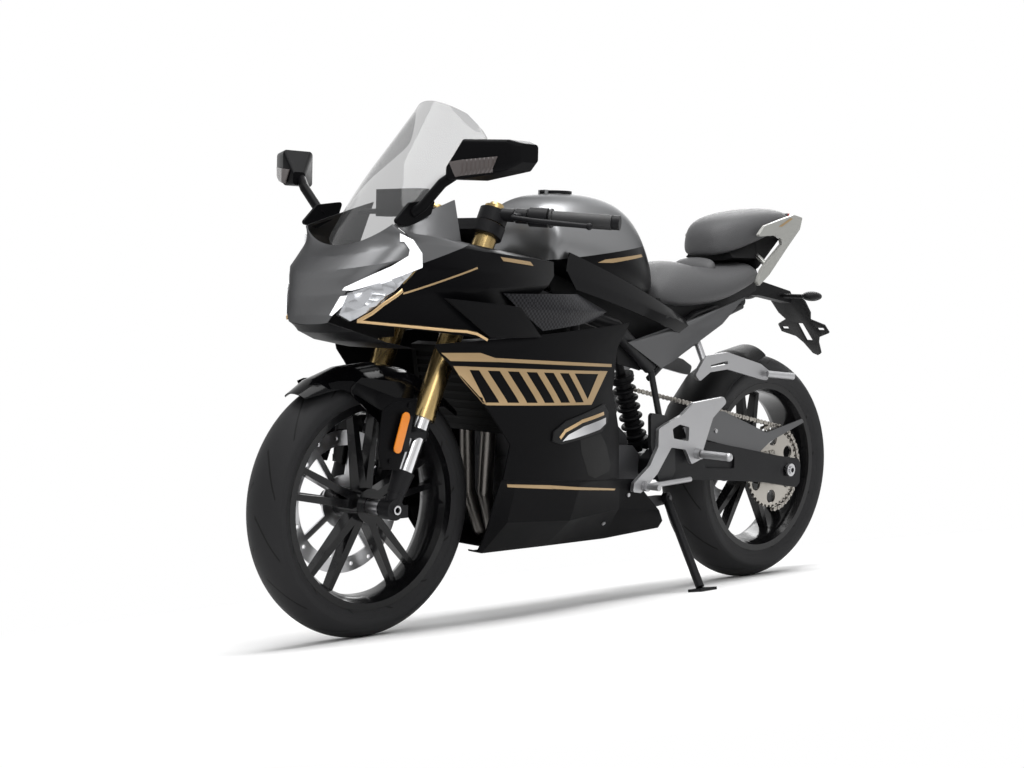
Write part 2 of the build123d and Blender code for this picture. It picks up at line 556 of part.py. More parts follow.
left_frame += disc_about_y(Vector(322, 0, 575), 20, ENGINE_HALF + 0.3, 124)
left_frame += bar_line([(-130, 106, 600), (-330, 94, 718), (-570, 60, 768)], 11)
LOW_RAIL = [(-140, 112, 560), (-330, 94, 680), (-570, 58, 742)]
left_frame += bar_line(LOW_RAIL, 8)
left_frame += disc_about_y(Vector(140, 0, 600), 22, ENGINE_HALF + 0.3, 124)
left_frame += rod((140, 122, 600), (140, 117, 725), 11)
main_frame = rod(head_low, head_top, HEAD_TUBE_R) + left_frame + mirror(left_frame, Plane.XZ)
main_frame += rod((-570, -62, 756), (-570, 62, 756), 13)
main_frame += disc_about_y(SWINGARM_PIVOT, REAR_AXLE_R, -PLATE_Y - 4, PLATE_Y + 4)
main_frame -= rod(stem_point(YOKE_LOW_Z), stem_point(YOKE_TOP_Z), STEM_R + RUN)

# ---- engine, radiator and exhaust ---------------------------------------------------------------------------
crankcase = slab([(-40, 250), (20, 224), (230, 224), (268, 260), (276, 380), (200, 430), (40, 470), (-40, 440)],
                 -ENGINE_HALF, ENGINE_HALF, 14)
gearbox = slab([(-118, 372), (-118, 300), (-60, 250), (0, 230), (0, 460), (-60, 452), (-104, 420)], -74, 74, 10)
cylinders = slab([(110, 420), (270, 370), (352, 590), (300, 650), (150, 655)], -ENGINE_HALF, ENGINE_HALF, 10)
engine = crankcase + gearbox + cylinders
engine += disc_about_y(Vector(185, 0, 335), 78, 90, 128) + disc_about_y(Vector(185, 0, 335), 60, 90, 138)
engine += disc_about_y(Vector(70, 0, 350), 88, -132, -90) + disc_about_y(Vector(70, 0, 350), 66, -142, -90)
engine += disc_about_y(Vector(190, 0, 318), 52, -126, -90)
engine += disc_about_y(Vector(FRONT_SPROCKET.X, 0, FRONT_SPROCKET.Z), 11, 60, CHAIN_Y + 5)
engine += disc_about_y(FRONT_SPROCKET, FRONT_SPROCKET_R - CHAIN_HEIGHT / 2 - SEAT_GAP, CHAIN_Y - 4, CHAIN_Y + 4)
engine += slab([(-30, 290), (-90, 288), (-112, 310), (-112, 375), (-90, 396), (-30, 400)], 99, ARM_INNER_Y + 6, 10)

RADIATOR_TILT = 0.2          # forward lean, x per z
radiator = slab([(362, 452), (388, 446), (428, 640), (402, 648)], -138, 138, 3)
for step in range(9):
    z = 466 + step * 19
    x = 388 + (z - 446) * RADIATOR_TILT
    radiator -= block(x - 3, x + 6, -122, 122, z - 6, z + 6)
radiator += block(362, 390, -60, 60, 534, 598)
for y in (120, -120):
    radiator += rod((340, y, 620), (400, y, 620), 7)
radiator_seat = bar_line(DOWN_TUBE, 13 + SEAT_GAP)
radiator -= radiator_seat + mirror(radiator_seat, Plane.XZ)

HEADER_R = 18
HEADER_X = 335
PORT_Z = 506
PORT_DIR = Vector(220, 0, -82).normalized()      # square to the front of the cylinders
headers = []
for y in (36, -36):
    port = Vector(270 + (PORT_Z - 370) * 82 / 220, y, PORT_Z) + PORT_DIR * SEAT_GAP
    header = pipe([port, port + PORT_DIR * 28, (HEADER_X, y, 440), (HEADER_X, y * 0.8, 300),
                   (HEADER_X - 40, y * 0.6, 201), (HEADER_X - 150, 0, 198)], HEADER_R, 12)
    headers.append(header + rod(port, port + PORT_DIR * 7, HEADER_R + 8))
MUFFLER_START = Vector(-232, -113, 222)
MUFFLER_END = Vector(-470, -235, 270)
MUFFLER_PIPE_R = 20
collector = rod((200, 0, 198), (-60, -40, 200), MUFFLER_PIPE_R) + Pos(-60, -40, 200) * Sphere(MUFFLER_PIPE_R)
LINK_START, LINK_END = Vector(-60, -40, 200), MUFFLER_START + (MUFFLER_END - MUFFLER_START) * 0.05
link_pipe = rod(LINK_START, LINK_END, MUFFLER_PIPE_R)
exhaust_pipe = headers[0] + headers[1] + collector + link_pipe


def muffler_section(share, wide, tall):
    run = MUFFLER_END - MUFFLER_START
    plane = Plane(origin=MUFFLER_START + run * share, x_dir=(0, 1, 0), z_dir=run)
    return plane * RectangleRounded(wide, tall, min(wide, tall) * 0.3)


muffler = loft([muffler_section(0, 52, 60), muffler_section(0.25, 74, 90), muffler_section(0.85, 80, 98),
                muffler_section(1, 66, 84)], ruled=True)
muffler -= rod(LINK_START, LINK_END + (LINK_END - LINK_START) * 0.01, MUFFLER_PIPE_R + RUN)
tail_plane = Plane(origin=MUFFLER_END, x_dir=(0, 1, 0), z_dir=MUFFLER_END - MUFFLER_START)
muffler += extrude(tail_plane * (Circle(20) - Circle(17)), 12)
muffler -= extrude(tail_plane * Circle(17), -40)

SHOCK_FOOT = Vector(-237, 0, SWINGARM_PIVOT_Z + BEAM_TOP + 12 * sin(atan2(87, 227)) + SEAT_GAP)
rear_shock = rod(SHOCK_FOOT, (-146, 0, 606), 12)
for step in range(7):
    share = 0.2 + step * 0.1
    here = Vector(-240, 0, 363) + Vector(90, 0, 232) * share
    rear_shock += Solid.make_torus(25, 5.5, Plane(origin=here, z_dir=(90, 0, 232)))
rear_shock += rod((-230, 0, 389), (-226, 0, 399), 32) + rod((-166, 0, 554), (-162, 0, 564), 32)
rear_shock += rod((-227, 0, 397), (-165, 0, 557), 20)
rear_shock -= rod((-140, 0, 610), SPAR[3], 13 + SEAT_GAP) + mirror(rod((-140, 0, 610), SPAR[3], 13 + SEAT_GAP), Plane.XZ)

# ---- tank and seats -----------------------------------------------------------------------------------------
fuel_tank = hull_loft([
    (238, [(0, 850), (60, 830), (95, 830), (118, 860), (116, 920), (70, 958), (0, 966)]),
    (180, [(0, 815), (60, 800), (112, 800), (140, 838), (136, 920), (84, 984), (0, 1000)]),
    (60, [(0, 790), (60, 775), (125, 775), (150, 822), (146, 905), (88, 985), (0, 1004)]),
    (-60, [(0, 775), (60, 762), (118, 762), (140, 800), (132, 890), (78, 966), (0, 988)]),
    (-130, [(0, 765), (56, 756), (96, 756), (114, 785), (106, 850), (62, 915), (0, 935)]),
    (-184, [(0, 762), (50, 756), (68, 756), (84, 775), (78, 800), (46, 828), (0, 838)]),
])
CAP_X, CAP_TOP_Z = 92, 1003
CAP_R = 38
CAP_BASE_Z = CAP_TOP_Z + 2.5
CAP_HINGE_X, CAP_HINGE_Z = CAP_X + CAP_R + 6, CAP_TOP_Z + 6
CAP_HINGE = Vector(CAP_HINGE_X, 0, CAP_HINGE_Z)
CAP_PIN_R = 2
fuel_tank += Pos(CAP_X, 0, CAP_BASE_Z - SEAT_GAP - 6) * Cylinder(CAP_R - 1, 12)
for y_low in (8.4, -13.4):
    fuel_tank += block(CAP_HINGE_X - 4, CAP_HINGE_X + 4.5, y_low, y_low + 5, CAP_TOP_Z - 14, CAP_HINGE_Z + 4)
fuel_tank += disc_about_y(CAP_HINGE, CAP_PIN_R, -10, 10)

tank_side_cover = side_panel([
    (196, 862, 150, 162, 126, -262, 705), (222, 818, 168, 174, 134, -262, 692), (205, 776, 182, 178, 136, -228, 672)])
tank_side_covers = both_sides(tank_side_cover)
for x, z in ((120, 815), (-20, 780)):
    for tank_stud in both_sides(stud(tank_side_cover, x, z, 90)):
        fuel_tank += tank_stud

rider_seat = hull_loft([
    (-184 - SEAT_GAP, [(0, 744), (60, 744), (80, 752), (74, 782), (0, 796)]),
    (-200, [(0, 743), (72, 743), (98, 756), (80, 800), (0, 812)]),
    (-290, [(0, 742), (100, 742), (128, 762), (106, 822), (0, 836)]),
    (-400, [(0, 748), (118, 752), (138, 772), (118, 830), (0, 848)]),
    (-500, [(0, 778), (108, 782), (124, 800), (110, 838), (0, 850)]),
    (-590, [(0, 806), (88, 812), (100, 824), (90, 842), (0, 856)]),
])
rider_seat += hull_loft([(-420, [(0, 800), (70, 800), (78, 838), (60, 846), (0, 850)]),
                         (-445, [(0, 800), (66, 800), (70, 850), (52, 868), (0, 874)]),
                         (-452, [(0, 800), (64, 800), (66, 852), (50, 868), (0, 873)])])

PILLION = [(-456, 872, 78, 936), (-500, 884, 98, 966), (-600, 918, 106, 992), (-700, 952, 98, 1002),
           (-752, 974, 72, 1000)]
pillion_seat = hull_loft([(x, [(0, low), (0.85 * half, low), (half, low + 14), (0.86 * half, top - 12), (0, top)])
                          for x, low, half, top in PILLION])

tail_core = hull_loft([(x, [(0, floor), (0.6 * half, floor), (half, floor + 8), (0.85 * half, low - 1), (0, low - 1)])
                       for x, floor, half, low in [(-500, 862, 80, 884), (-594, 862, 88, 916)]])
tail_core += hull_loft([(x, [(0, floor), (0.6 * half, floor), (half, floor + 22), (0.85 * half, low - 1), (0, low - 1)])
                        for x, floor, half, low in [(-594, 820, 86, 916), (-600, 824, 88, 918), (-700, 905, 80, 952),
                                                    (-752.5, 944, 60, 974)]])
tail_core += hull_loft([(-752.5, [(0, 944), (36, 944), (60, 962), (54, 996), (0, 998)]),
                        (-800, [(0, 976), (20, 976), (34, 984), (30, 1000), (0, 1003)])])
tail_wing = slab([(-543, 926), (-575, 956), (-640, 974), (-700, 990), (-738, 984), (-728, 952), (-679, 906),
                  (-600, 828), (-557, 797), (-548, 806), (-566, 840), (-594, 866), (-650, 910), (-646, 924),
                  (-622, 932)], 116, 126, 4)
tail_wing += rod((-700, 74, 930), (-700, 118, 938), 9) + rod((-596, 82, 880), (-596, 118, 852), 7)
tail_cowl = tail_core + tail_wing + mirror(tail_wing, Plane.XZ)

seat_side_panel = side_panel([
    (-236, 696, 126, 124, 110, -520, 768), (-20, 652, 146, 138, 112, -425, 696),
    (-140, 588, 152, 146, 134, -235, 618)])
seat_side_panel -= Pos(0, -GAP, -GAP) * tank_side_cover + Pos(0, 0, -GAP) * tank_side_cover
seat_side_panels = both_sides(seat_side_panel)
for x, z in ((-200, 660), (-400, 722)):
    for rail_stud in both_sides(stud(seat_side_panel, x, z, 84)):
        main_frame += rail_stud

tail_light = slab([(-800 - SEAT_GAP, 981), (-800 - SEAT_GAP, 1000), (-812, 1001), (-810, 982)], -28, 28)

# ---- plate bracket, rear mudguard ---------------------------------------------------------------------------
plate_bracket = slab([(-583 - SEAT_GAP, 766), (-598, 816), (-612, 833), (-660, 872), (-700, 812), (-838, 786),
                      (-852, 770), (-845, 752), (-700, 772), (-606, 770), (-583 - SEAT_GAP, 746)], -20, 20)
plate_bracket += slab([(-838, 768), (-852, 772), (-1010, 612), (-1004, 606), (-990, 612)], -52, 52, 2)
plate_bracket += rod((-800, -104, 772), (-800, 104, 772), 6)
for y in (104, -104):
    plate_bracket += Pos(-812, y, 772) * Box(52, 24, 20)

HUGGER_R = REAR_TYRE_R + 20
rear_hugger = mudguard(REAR_AXLE, [
    (14, HUGGER_R + 4, 78, 30), (34, HUGGER_R, 82, 36), (54, HUGGER_R, 82, 36), (74, HUGGER_R + 2, 80, 34),
    (88, HUGGER_R + 6, 66, 26)], 3.5)
hugger_lug = block(REAR_AXLE.X + 283, REAR_AXLE.X + 305, 74, ARM_INNER_Y - SEAT_GAP, REAR_AXLE.Z + 52, REAR_AXLE.Z + 76)
rear_hugger += hugger_lug + mirror(hugger_lug, Plane.XZ)

guard_front_top = near(SWINGARM_PIVOT, (-125, 92), (-265, 132), (-290, 130))
guard_rear = near(REAR_AXLE, (45, 99), (-115, 130), (-123, 120), (25, 74), (75, 46))
guard_front_low = near(SWINGARM_PIVOT, (-275, 46), (-135, 76))
chain_guard = slab(guard_front_top + guard_rear + guard_front_low, CHAIN_Y + 10, ARM_INNER_Y - SEAT_GAP)

# ---- footrests ----------------------------------------------------------------------------------------------
HANGER_Y = PLATE_Y + PLATE_THICK + 0.3
hanger = slab([(-120, 440), (-150, 452), (-205, 470), (-250, 500), (-370, 512), (-384, 498), (-330, 460),
               (-312, 420), (-284, 356), (-250, 346), (-225, 384), (-170, 392), (-120, 330), (-60, 286),
               (-30, 290), (-34, 312), (-90, 350), (-120, 396)], HANGER_Y, HANGER_Y + 10, 7)
hanger -= slab([(-178, 414), (-236, 404), (-236, 440), (-200, 448), (-172, 438)], HANGER_Y - 1, HANGER_Y + 12, 5)
peg_root = Vector(-268, HANGER_Y + 10, 372)
peg_boss = rod(peg_root, peg_root + Vector(0, 16, 0), 13)
footrest_hangers = both_sides(hanger + peg_boss)
peg = rod(peg_root + Vector(0, 17.8, 0), peg_root + Vector(-12, 92, -2), 10) + Pos(*(peg_root + Vector(-12, 92, -2))) * Sphere(11)
pillion_arm = slab([(-290, 566), (-330, 616), (-420, 624), (-560, 592), (-600, 572), (-590, 548), (-560, 552),
                    (-420, 580), (-350, 574), (-310, 552)], 128, 138, 8)
pillion_arm -= slab([(-350, 592), (-420, 602), (-420, 594), (-352, 586)], 120, 140, 2)
pillion_mount = rod((-330, 95, 674), (-330, 131, 602), 9) - bar_line(LOW_RAIL, 8 + SEAT_GAP)
pillion_hangers = both_sides(pillion_arm + pillion_mount)
pillion_peg_root = Vector(-576, 147, 566)
pillion_peg = rod(pillion_peg_root, pillion_peg_root + Vector(-70, 34, -6), 9)
footpegs = both_sides(peg, pillion_peg)

gear_lever = rod((-72, HANGER_Y + 10.4, 302), (-72, HANGER_Y + 22, 302), 12)
gear_lever += rod((-236, HANGER_Y + 18, 310), (-72, HANGER_Y + 18, 302), 6.5)
gear_lever += rod((-72, HANGER_Y + 16, 302), (-72, HANGER_Y + 58, 302), 7.5)
foot_levers = both_sides(gear_lever)

# ---- nose, screen and fairings ------------------------------------------------------------------------------
nose_cowl = cross_panel([
    (842, 694, 66, 850, 689), (838, 712, 78, 854, 706), (820, 760, 99, 858, 748), (766, 808, 140, 852, 784),
    (716, 834, 172, 844, 802),
    (700, 868, 176, 812, 832), (738, 902, 146, 768, 856)])
windscreen = screen_panel([
    (768, 856, 14, 1), (748, 884, 66, 16), (716, 928, 110, 40), (672, 985, 134, 54), (620, 1052, 146, 68),
    (566, 1122, 145, 92), (531, 1168, 130, 98), (514, 1191, 88, 50)], 53, SCREEN_WALL)
upper_fairing = side_panel([
    (732, 905, 150, 150, 138, 552, 965), (716, 888, 166, 182, 172, 562, 874), (706, 866, 178, 198, 166, 266, 838),
    (686, 822, 190, 206, 172, 270, 806),
    (736, 762, 166, 210, 186, 300, 786), (808, 697, 116, 176, 200, 495, 664)])
headlamp = side_panel([
    (818, 758, 103, 158, 178, 694, 812), (830, 712, 90, 146, 166, 738, 768), (812, 699, 106, 140, 156, 742, 756)], 10)
headlamps = both_sides(headlamp - nose_cowl - upper_fairing)
mid_fairing = side_panel([
    (470, 764, 214, 214, 182, 200, 766), (430, 734, 216, 210, 168, 82, 726), (338, 682, 208, 200, 174, 140, 702)])
winglet = side_panel([
    (648, 752, 218, 244, 256, 457, 736), (500, 666, 208, 216, 212, 345, 668)])
SEAM_X, SEAM_Z, SEAM_REAR_X, SEAM_REAR_Z = 440, 350, 10, 324     # side fairing to belly
side_fairing = side_panel([
    (632, 652, 170, 204, 152, -20, 700), (618, 628, 180, 214, 158, 30, 640), (520, 532, 204, 222, 166, 52, 540),
    (430, 430, 206, 220, 166, 25, 440), (SEAM_X, SEAM_Z, 196, 208, 156, SEAM_REAR_X, SEAM_REAR_Z)])
mid_fairings, winglets, side_fairings = both_sides(mid_fairing), both_sides(winglet), both_sides(side_fairing)

# studs that carry the panels
panel_studs = []
for panel, x, z in ((mid_fairing, 380, 740), (winglet, 560, 735)):
    panel_studs.append(stud(panel, x, z, outer_face(upper_fairing, x, z) - 2, 5))
upper_fairings = both_sides(upper_fairing + panel_studs[0] + panel_studs[1] - nose_cowl)
for x, z in ((140, 600), (322, 575)):
    for side_stud in both_sides(stud(side_fairing, x, z, 120)):
        main_frame += side_stud
for side_stud in both_sides(stud(side_fairing, 120, 430, 100)):
    engine += side_stud


def belly_section(x, rim_z, rim_y, mid_z, mid_y, floor_z, floor_y):
    """U-shaped section of the belly pan, open at the top."""
    outer = [(x, rim_y, rim_z), (x, mid_y, mid_z), (x, floor_y, floor_z)]
    inner = [(x, floor_y - 2, floor_z + PANEL_WALL), (x, mid_y - PANEL_WALL, mid_z), (x, rim_y - PANEL_WALL, rim_z)]
    points = outer + [(px, -py, pz) for px, py, pz in reversed(outer)]
    points += [(px, -py, pz) for px, py, pz in reversed(inner)] + inner
    return Wire(Polyline(*points, close=True).edges())


SEAM_SLOPE = (SEAM_Z - SEAM_REAR_Z) / (SEAM_X - SEAM_REAR_X)
belly_fairings = Solid.make_loft([
    belly_section(x, SEAM_Z + (x - SEAM_X) * SEAM_SLOPE - SEAT_GAP, rim_y, mid_z, mid_y, floor_z, floor_y)
    for x, rim_y, mid_z, mid_y, floor_z, floor_y in (
        (446, 196, 270, 152, 182, 92), (400, 201, 250, 172, 170, 92), (200, 206, 240, 176, 170, 96),
        (0, 156, 250, 150, 172, 104), (-210, 146, 230, 148, 186, 116))], ruled=True)
belly_fairings -= slab([(-40, 340), (-60, 312), (-190, 204), (-190, 150), (-260, 150), (-260, 360)], -260, 260)
belly_fairings -= slab([(470, 350), (446, 352), (436, 262), (410, 160), (470, 160)], -260, 260)
belly_fairings -= block(330, 460, -60, 60, 150, 200)

under_nose = cross_panel([
    (841.8, 693.6, 66, 849.8, 688.6), (790, 676, 96, 836, 672), (720, 655, 110, 792, 655), (640, 640, 120, 700, 640)])
instrument_cowl = block(566, 600, -70, 70, 930, 990) + rod((430, 0, 806), (572, 0, 950), 9)
instrument_cowl -= rod(head_low, head_top + STEER_DIR * 20, HEAD_TUBE_R + SEAT_GAP)
for cowl_stud in both_sides(stud(upper_fairing, 583, 942, 66, 6)):
    instrument_cowl += cowl_stud

VENT_WALL = 3


def vent_level(x_front, z_front, x_rear, z_rear):
    """A level of the vent insert, just outside the side fairing."""
    middle = ((x_front + x_rear) / 2, (z_front + z_rear) / 2)
    faces = [outer_face(side_fairing, x, z) + SEAT_GAP + VENT_WALL for x, z in
             ((x_front, z_front), middle, (x_rear, z_rear))]
    return (x_front, z_front, faces[0], faces[1], faces[2], x_rear, z_rear)


side_vents = both_sides(side_panel([vent_level(*row) for row in (
    (276, 500, 130, 520), (318, 440, 150, 470), (300, 428, 150, 452))], VENT_WALL) - Pos(0, SEAT_GAP, 0) * side_fairing)

# ---- mirrors ------------------------------------------------------------------------------------------------
mirror_arm = pipe([(690, 158, 930), (680, 176, 944), (676, 232, 992), (656, 276, 1022)], 11, 12)
mirror_foot = slab([(744, 908), (700, 952), (628, 962), (640, 930), (700, 900)], 152, 160, 6)
mirror_head = loft([
    Plane(origin=(x, y, z), x_dir=(1, 0, 0), z_dir=(0, 1, 0)) * RectangleRounded(length, height, corner)
    for x, y, z, length, height, corner in (
        (672, 258, 1014, 36, 30, 8), (644, 300, 1040, 86, 82, 10), (602, 384, 1049, 78, 62, 10),
        (590, 402, 1054, 50, 38, 8))], ruled=True)
mirrors = both_sides(mirror_arm + mirror_foot + mirror_head - upper_fairings[0])

# ---- side stand and filler cap ------------------------------------------------------------------------------
fuel_cap = Pos(CAP_X, 0, CAP_BASE_Z + 3.5) * Cylinder(CAP_R, 7)
fuel_cap += block(CAP_X + CAP_R - 6, CAP_HINGE_X, -8, 8, CAP_HINGE_Z - 3, CAP_HINGE_Z + 3)
fuel_cap += disc_about_y(CAP_HINGE, 4.5, -8, 8)
fuel_cap -= disc_about_y(CAP_HINGE, CAP_PIN_R + 0.05, -20, 20)

STAND_PIVOT = Vector(-222, 112, 256)
STAND_AXIS = Vector(-0.232, 0.954, 0.192)
STAND_BOLT_R = 7


def rest(shape):
    """Lean a shape of the upright motorcycle onto its side stand."""
    return REST * shape


def rest_point(point):
    """Place of a point of the upright motorcycle once it leans."""
    return (REST * Pos(*point)).position


def rest_direction(direction):
    """Direction of the upright motorcycle once it leans."""
    return (rest_point(direction) - rest_point((0, 0, 0))).normalized()


def wheel_lift(radius, half):
    """Height that a leaned tyre's round crown adds under its centre line."""
    return crown_radius(radius, half) * (1 - cos(radians(LEAN)))


FRONT_LIFT = wheel_lift(FRONT_TYRE_R, FRONT_TYRE_HALF)
REAR_LIFT = wheel_lift(REAR_TYRE_R, REAR_TYRE_HALF)


def lift_at(x):
    """Height that the leaned tyres add under the centre line at x."""
    return REAR_LIFT + (FRONT_LIFT - REAR_LIFT) * (x - REAR_AXLE.X) / WHEELBASE


PITCH = degrees(atan2(FRONT_LIFT - REAR_LIFT, WHEELBASE))
STAND_FOOT_Y = 256
STAND_FOOT_X = -196


def floor_z(x, y):
    """Height in the upright frame of the point of the floor under (x, y) once the bike leans."""
    return y * tan(radians(LEAN)) - lift_at(x) / cos(radians(LEAN))


foot_z = floor_z(STAND_FOOT_X, STAND_FOOT_Y)
leg_end = Vector(STAND_FOOT_X, STAND_FOOT_Y - 6, foot_z + 9)
side_stand = rod(STAND_PIVOT, leg_end, 11)
side_stand += rod(STAND_PIVOT - STAND_AXIS * 7, STAND_PIVOT + STAND_AXIS * 8, 15)
side_stand -= rod(STAND_PIVOT - STAND_AXIS * 20, STAND_PIVOT + STAND_AXIS * 20, STAND_BOLT_R + RUN)
foot = [(STAND_FOOT_X + dx, STAND_FOOT_Y + dy, floor_z(STAND_FOOT_X + dx, STAND_FOOT_Y + dy)) for dx, dy in
        ((-34, -22), (26, -22), (26, 20), (-34, 20))]
foot_face = make_face(Polyline(*foot, close=True))
side_stand += extrude(foot_face, amount=7, dir=(0, -sin(radians(LEAN)), cos(radians(LEAN))))
stand_bracket = slab([(-240, 240), (-236, 262), (-200, 264), (-60, 262), (0, 290), (0, 252), (-60, 236), (-200, 236)],
                     94, 99.5, 4)
stand_bolt = rod(STAND_PIVOT - STAND_AXIS * 12, STAND_PIVOT + STAND_AXIS * 12, STAND_BOLT_R)
engine += stand_bracket + stand_bolt

LEANED = Pos(0, 0, lift_at(0)) * Rot(Y=-PITCH) * Rot(X=-LEAN)

PARTS = {
    "main_frame": main_frame, "engine": engine, "radiator": radiator, "exhaust_pipe": exhaust_pipe,
    "muffler": muffler, "rear_shock": rear_shock, "fuel_tank": fuel_tank, "tank_side_covers": tank_side_covers,
    "rider_seat": rider_seat, "pillion_seat": pillion_seat, "tail_cowl": tail_cowl,
    "seat_side_panels": seat_side_panels, "tail_light": tail_light, "plate_bracket": plate_bracket,
    "rear_hugger": rear_hugger, "chain_guard": chain_guard, "footrest_hangers": footrest_hangers,
    "pillion_hangers": pillion_hangers, "footpegs": footpegs, "foot_levers": foot_levers,
    "nose_cowl": nose_cowl, "windscreen": windscreen, "headlamps": headlamps, "upper_fairings": upper_fairings,
    "mid_fairings": mid_fairings, "winglets": winglets, "side_fairings": side_fairings,
    "belly_fairings": belly_fairings, "under_nose": under_nose, "instrument_cowl": instrument_cowl,
    "side_vents": side_vents, "mirrors": mirrors, "swingarm": swingarm, "rear_axle": rear_axle,
    "rear_caliper": rear_caliper, "drive_chain": drive_chain, "rear_tyre": rear_tyre, "rear_rim": rear_rim,
    "rear_disc": rear_disc, "rear_sprocket": rear_sprocket, "steering_yokes": steering_yokes,
    "fork_tubes": fork_tubes, "fork_sliders": fork_sliders, "axle_feet": axle_feet, "front_axle": front_axle,
    "handlebars": handlebars, "grips": grips, "hand_controls": hand_controls, "front_mudguard": front_mudguard,
    "fork_reflectors": fork_reflectors, "front_caliper": front_caliper, "front_tyre": front_tyre,
    "front_rim": front_rim, "front_disc": front_disc, "side_stand": side_stand, "fuel_cap": fuel_cap,
}



def solids_of(piece):
    """Every solid of a part, which is one shape or a list of shapes."""
    items = piece if isinstance(piece, list) else [piece]
    return [solid for item in items for solid in item.solids()]


# the origin is on the floor under the centre of the leaned motorcycle's box
leaned_box = Compound([LEANED * solid for piece in PARTS.values() for solid in solids_of(piece)]).bounding_box()
REST = Pos(-leaned_box.center().X, -leaned_box.center().Y, -leaned_box.min.Z) * LEANED

os.makedirs("parts", exist_ok=True)
for name, piece in PARTS.items():
    solids = [rest(solid) for solid in solids_of(piece)]
    export_step(solids[0] if len(solids) == 1 else Compound(solids), f"parts/{name}.step")
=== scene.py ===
"""Looks of a faired sport motorcycle that leans on its side stand."""
import json
from math import atan2, cos, hypot, pi, radians, sin

import bpy
from mathutils import Matrix, Vector


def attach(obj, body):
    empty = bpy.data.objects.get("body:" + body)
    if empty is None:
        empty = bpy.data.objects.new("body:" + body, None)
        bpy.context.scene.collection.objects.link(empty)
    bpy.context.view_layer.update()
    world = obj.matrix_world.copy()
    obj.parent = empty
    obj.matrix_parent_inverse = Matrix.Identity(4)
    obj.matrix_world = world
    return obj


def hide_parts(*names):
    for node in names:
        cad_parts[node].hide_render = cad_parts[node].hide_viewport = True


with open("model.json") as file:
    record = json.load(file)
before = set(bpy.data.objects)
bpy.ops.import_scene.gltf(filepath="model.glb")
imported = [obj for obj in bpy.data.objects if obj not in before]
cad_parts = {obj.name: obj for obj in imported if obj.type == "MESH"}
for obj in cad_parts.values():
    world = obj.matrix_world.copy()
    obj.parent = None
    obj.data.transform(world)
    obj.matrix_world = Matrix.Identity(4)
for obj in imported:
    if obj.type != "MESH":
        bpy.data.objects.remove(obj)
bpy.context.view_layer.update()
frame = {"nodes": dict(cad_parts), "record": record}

# ---- the motorcycle's own frame: X forward, Y to the left, Z up, upright, in metres ---------------------------------
record = frame["record"]
mounts = {m["name"]: m for m in record["mounts"]}
WHEELBASE, FRONT_TYRE_R, REAR_TYRE_R = 1.37, 0.293, 0.306
FRONT_TYRE_HALF, REAR_TYRE_HALF = 0.056, 0.072
FRONT_RIM_HALF, REAR_RIM_HALF, RIM_BEAD_R = 0.044, 0.060, 0.2294
FRONT_AXLE, REAR_AXLE = Vector((WHEELBASE / 2, 0, FRONT_TYRE_R)), Vector((-WHEELBASE / 2, 0, REAR_TYRE_R))
front_axle = Vector(mounts["front_axle_bore"]["pos_m"])
rear_axle = Vector(mounts["rear_axle_bore"]["pos_m"])
side_axis = Vector(mounts["front_axle_bore"]["axis"]).normalized()
between = (front_axle - rear_axle).normalized()
square = between.cross(side_axis)
drop = atan2(REAR_AXLE.z - FRONT_AXLE.z, FRONT_AXLE.x - REAR_AXLE.x)
forward = between * cos(drop) + square * sin(drop)
upward = square * cos(drop) - between * sin(drop)
turn = Matrix((forward, side_axis, upward)).transposed()
LEANED = Matrix.Translation(rear_axle - turn @ REAR_AXLE) @ turn.to_4x4()
UPRIGHT = LEANED.inverted()

slot_of = {part["node"]: part["material_slot"] for part in record["subparts"]}
body_of = {node: body for body, nodes in record["behaviour"]["bodies"].items() for node in nodes}

# ---- materials ------------------------------------------------------------------------------------------------------


def add(tree, kind, source=None, values=None, **settings):
    """A shader node fed by a source at its first input, with values for named inputs."""
    node = tree.nodes.new(kind)
    if source is not None:
        tree.links.new(source, node.inputs[0])
    for key, value in (values or {}).items():
        node.inputs[key].default_value = value
    for key, value in settings.items():
        setattr(node, key, value)
    return node


def shader_of(look):
    return look.node_tree.nodes["Principled BSDF"]


def bumped(tree, height, strength, distance):
    """Raises a material's surface by a height pattern."""
    bump = add(tree, "ShaderNodeBump", values={"Strength": strength, "Distance": distance})
    tree.links.new(height, bump.inputs["Height"])
    tree.links.new(bump.outputs["Normal"], tree.nodes["Principled BSDF"].inputs["Normal"])
    return bump


def calc(tree, operation, *inputs):
    """The result of a maths node on sockets and numbers."""
    node = tree.nodes.new("ShaderNodeMath")
    node.operation = operation
    for index, value in enumerate(inputs):
        if isinstance(value, bpy.types.NodeSocket):
            tree.links.new(value, node.inputs[index])
        else:
            node.inputs[index].default_value = value
    return node.outputs[0]


def upright_coords(tree):
    """Object coordinates turned back to the upright motorcycle."""
    coords = add(tree, "ShaderNodeTexCoord")
    mapping = add(tree, "ShaderNodeMapping", coords.outputs["Object"],
                  {"Location": UPRIGHT.translation, "Rotation": UPRIGHT.to_euler()})
    return mapping.outputs["Vector"]


PATCH_SIZE = 0.06


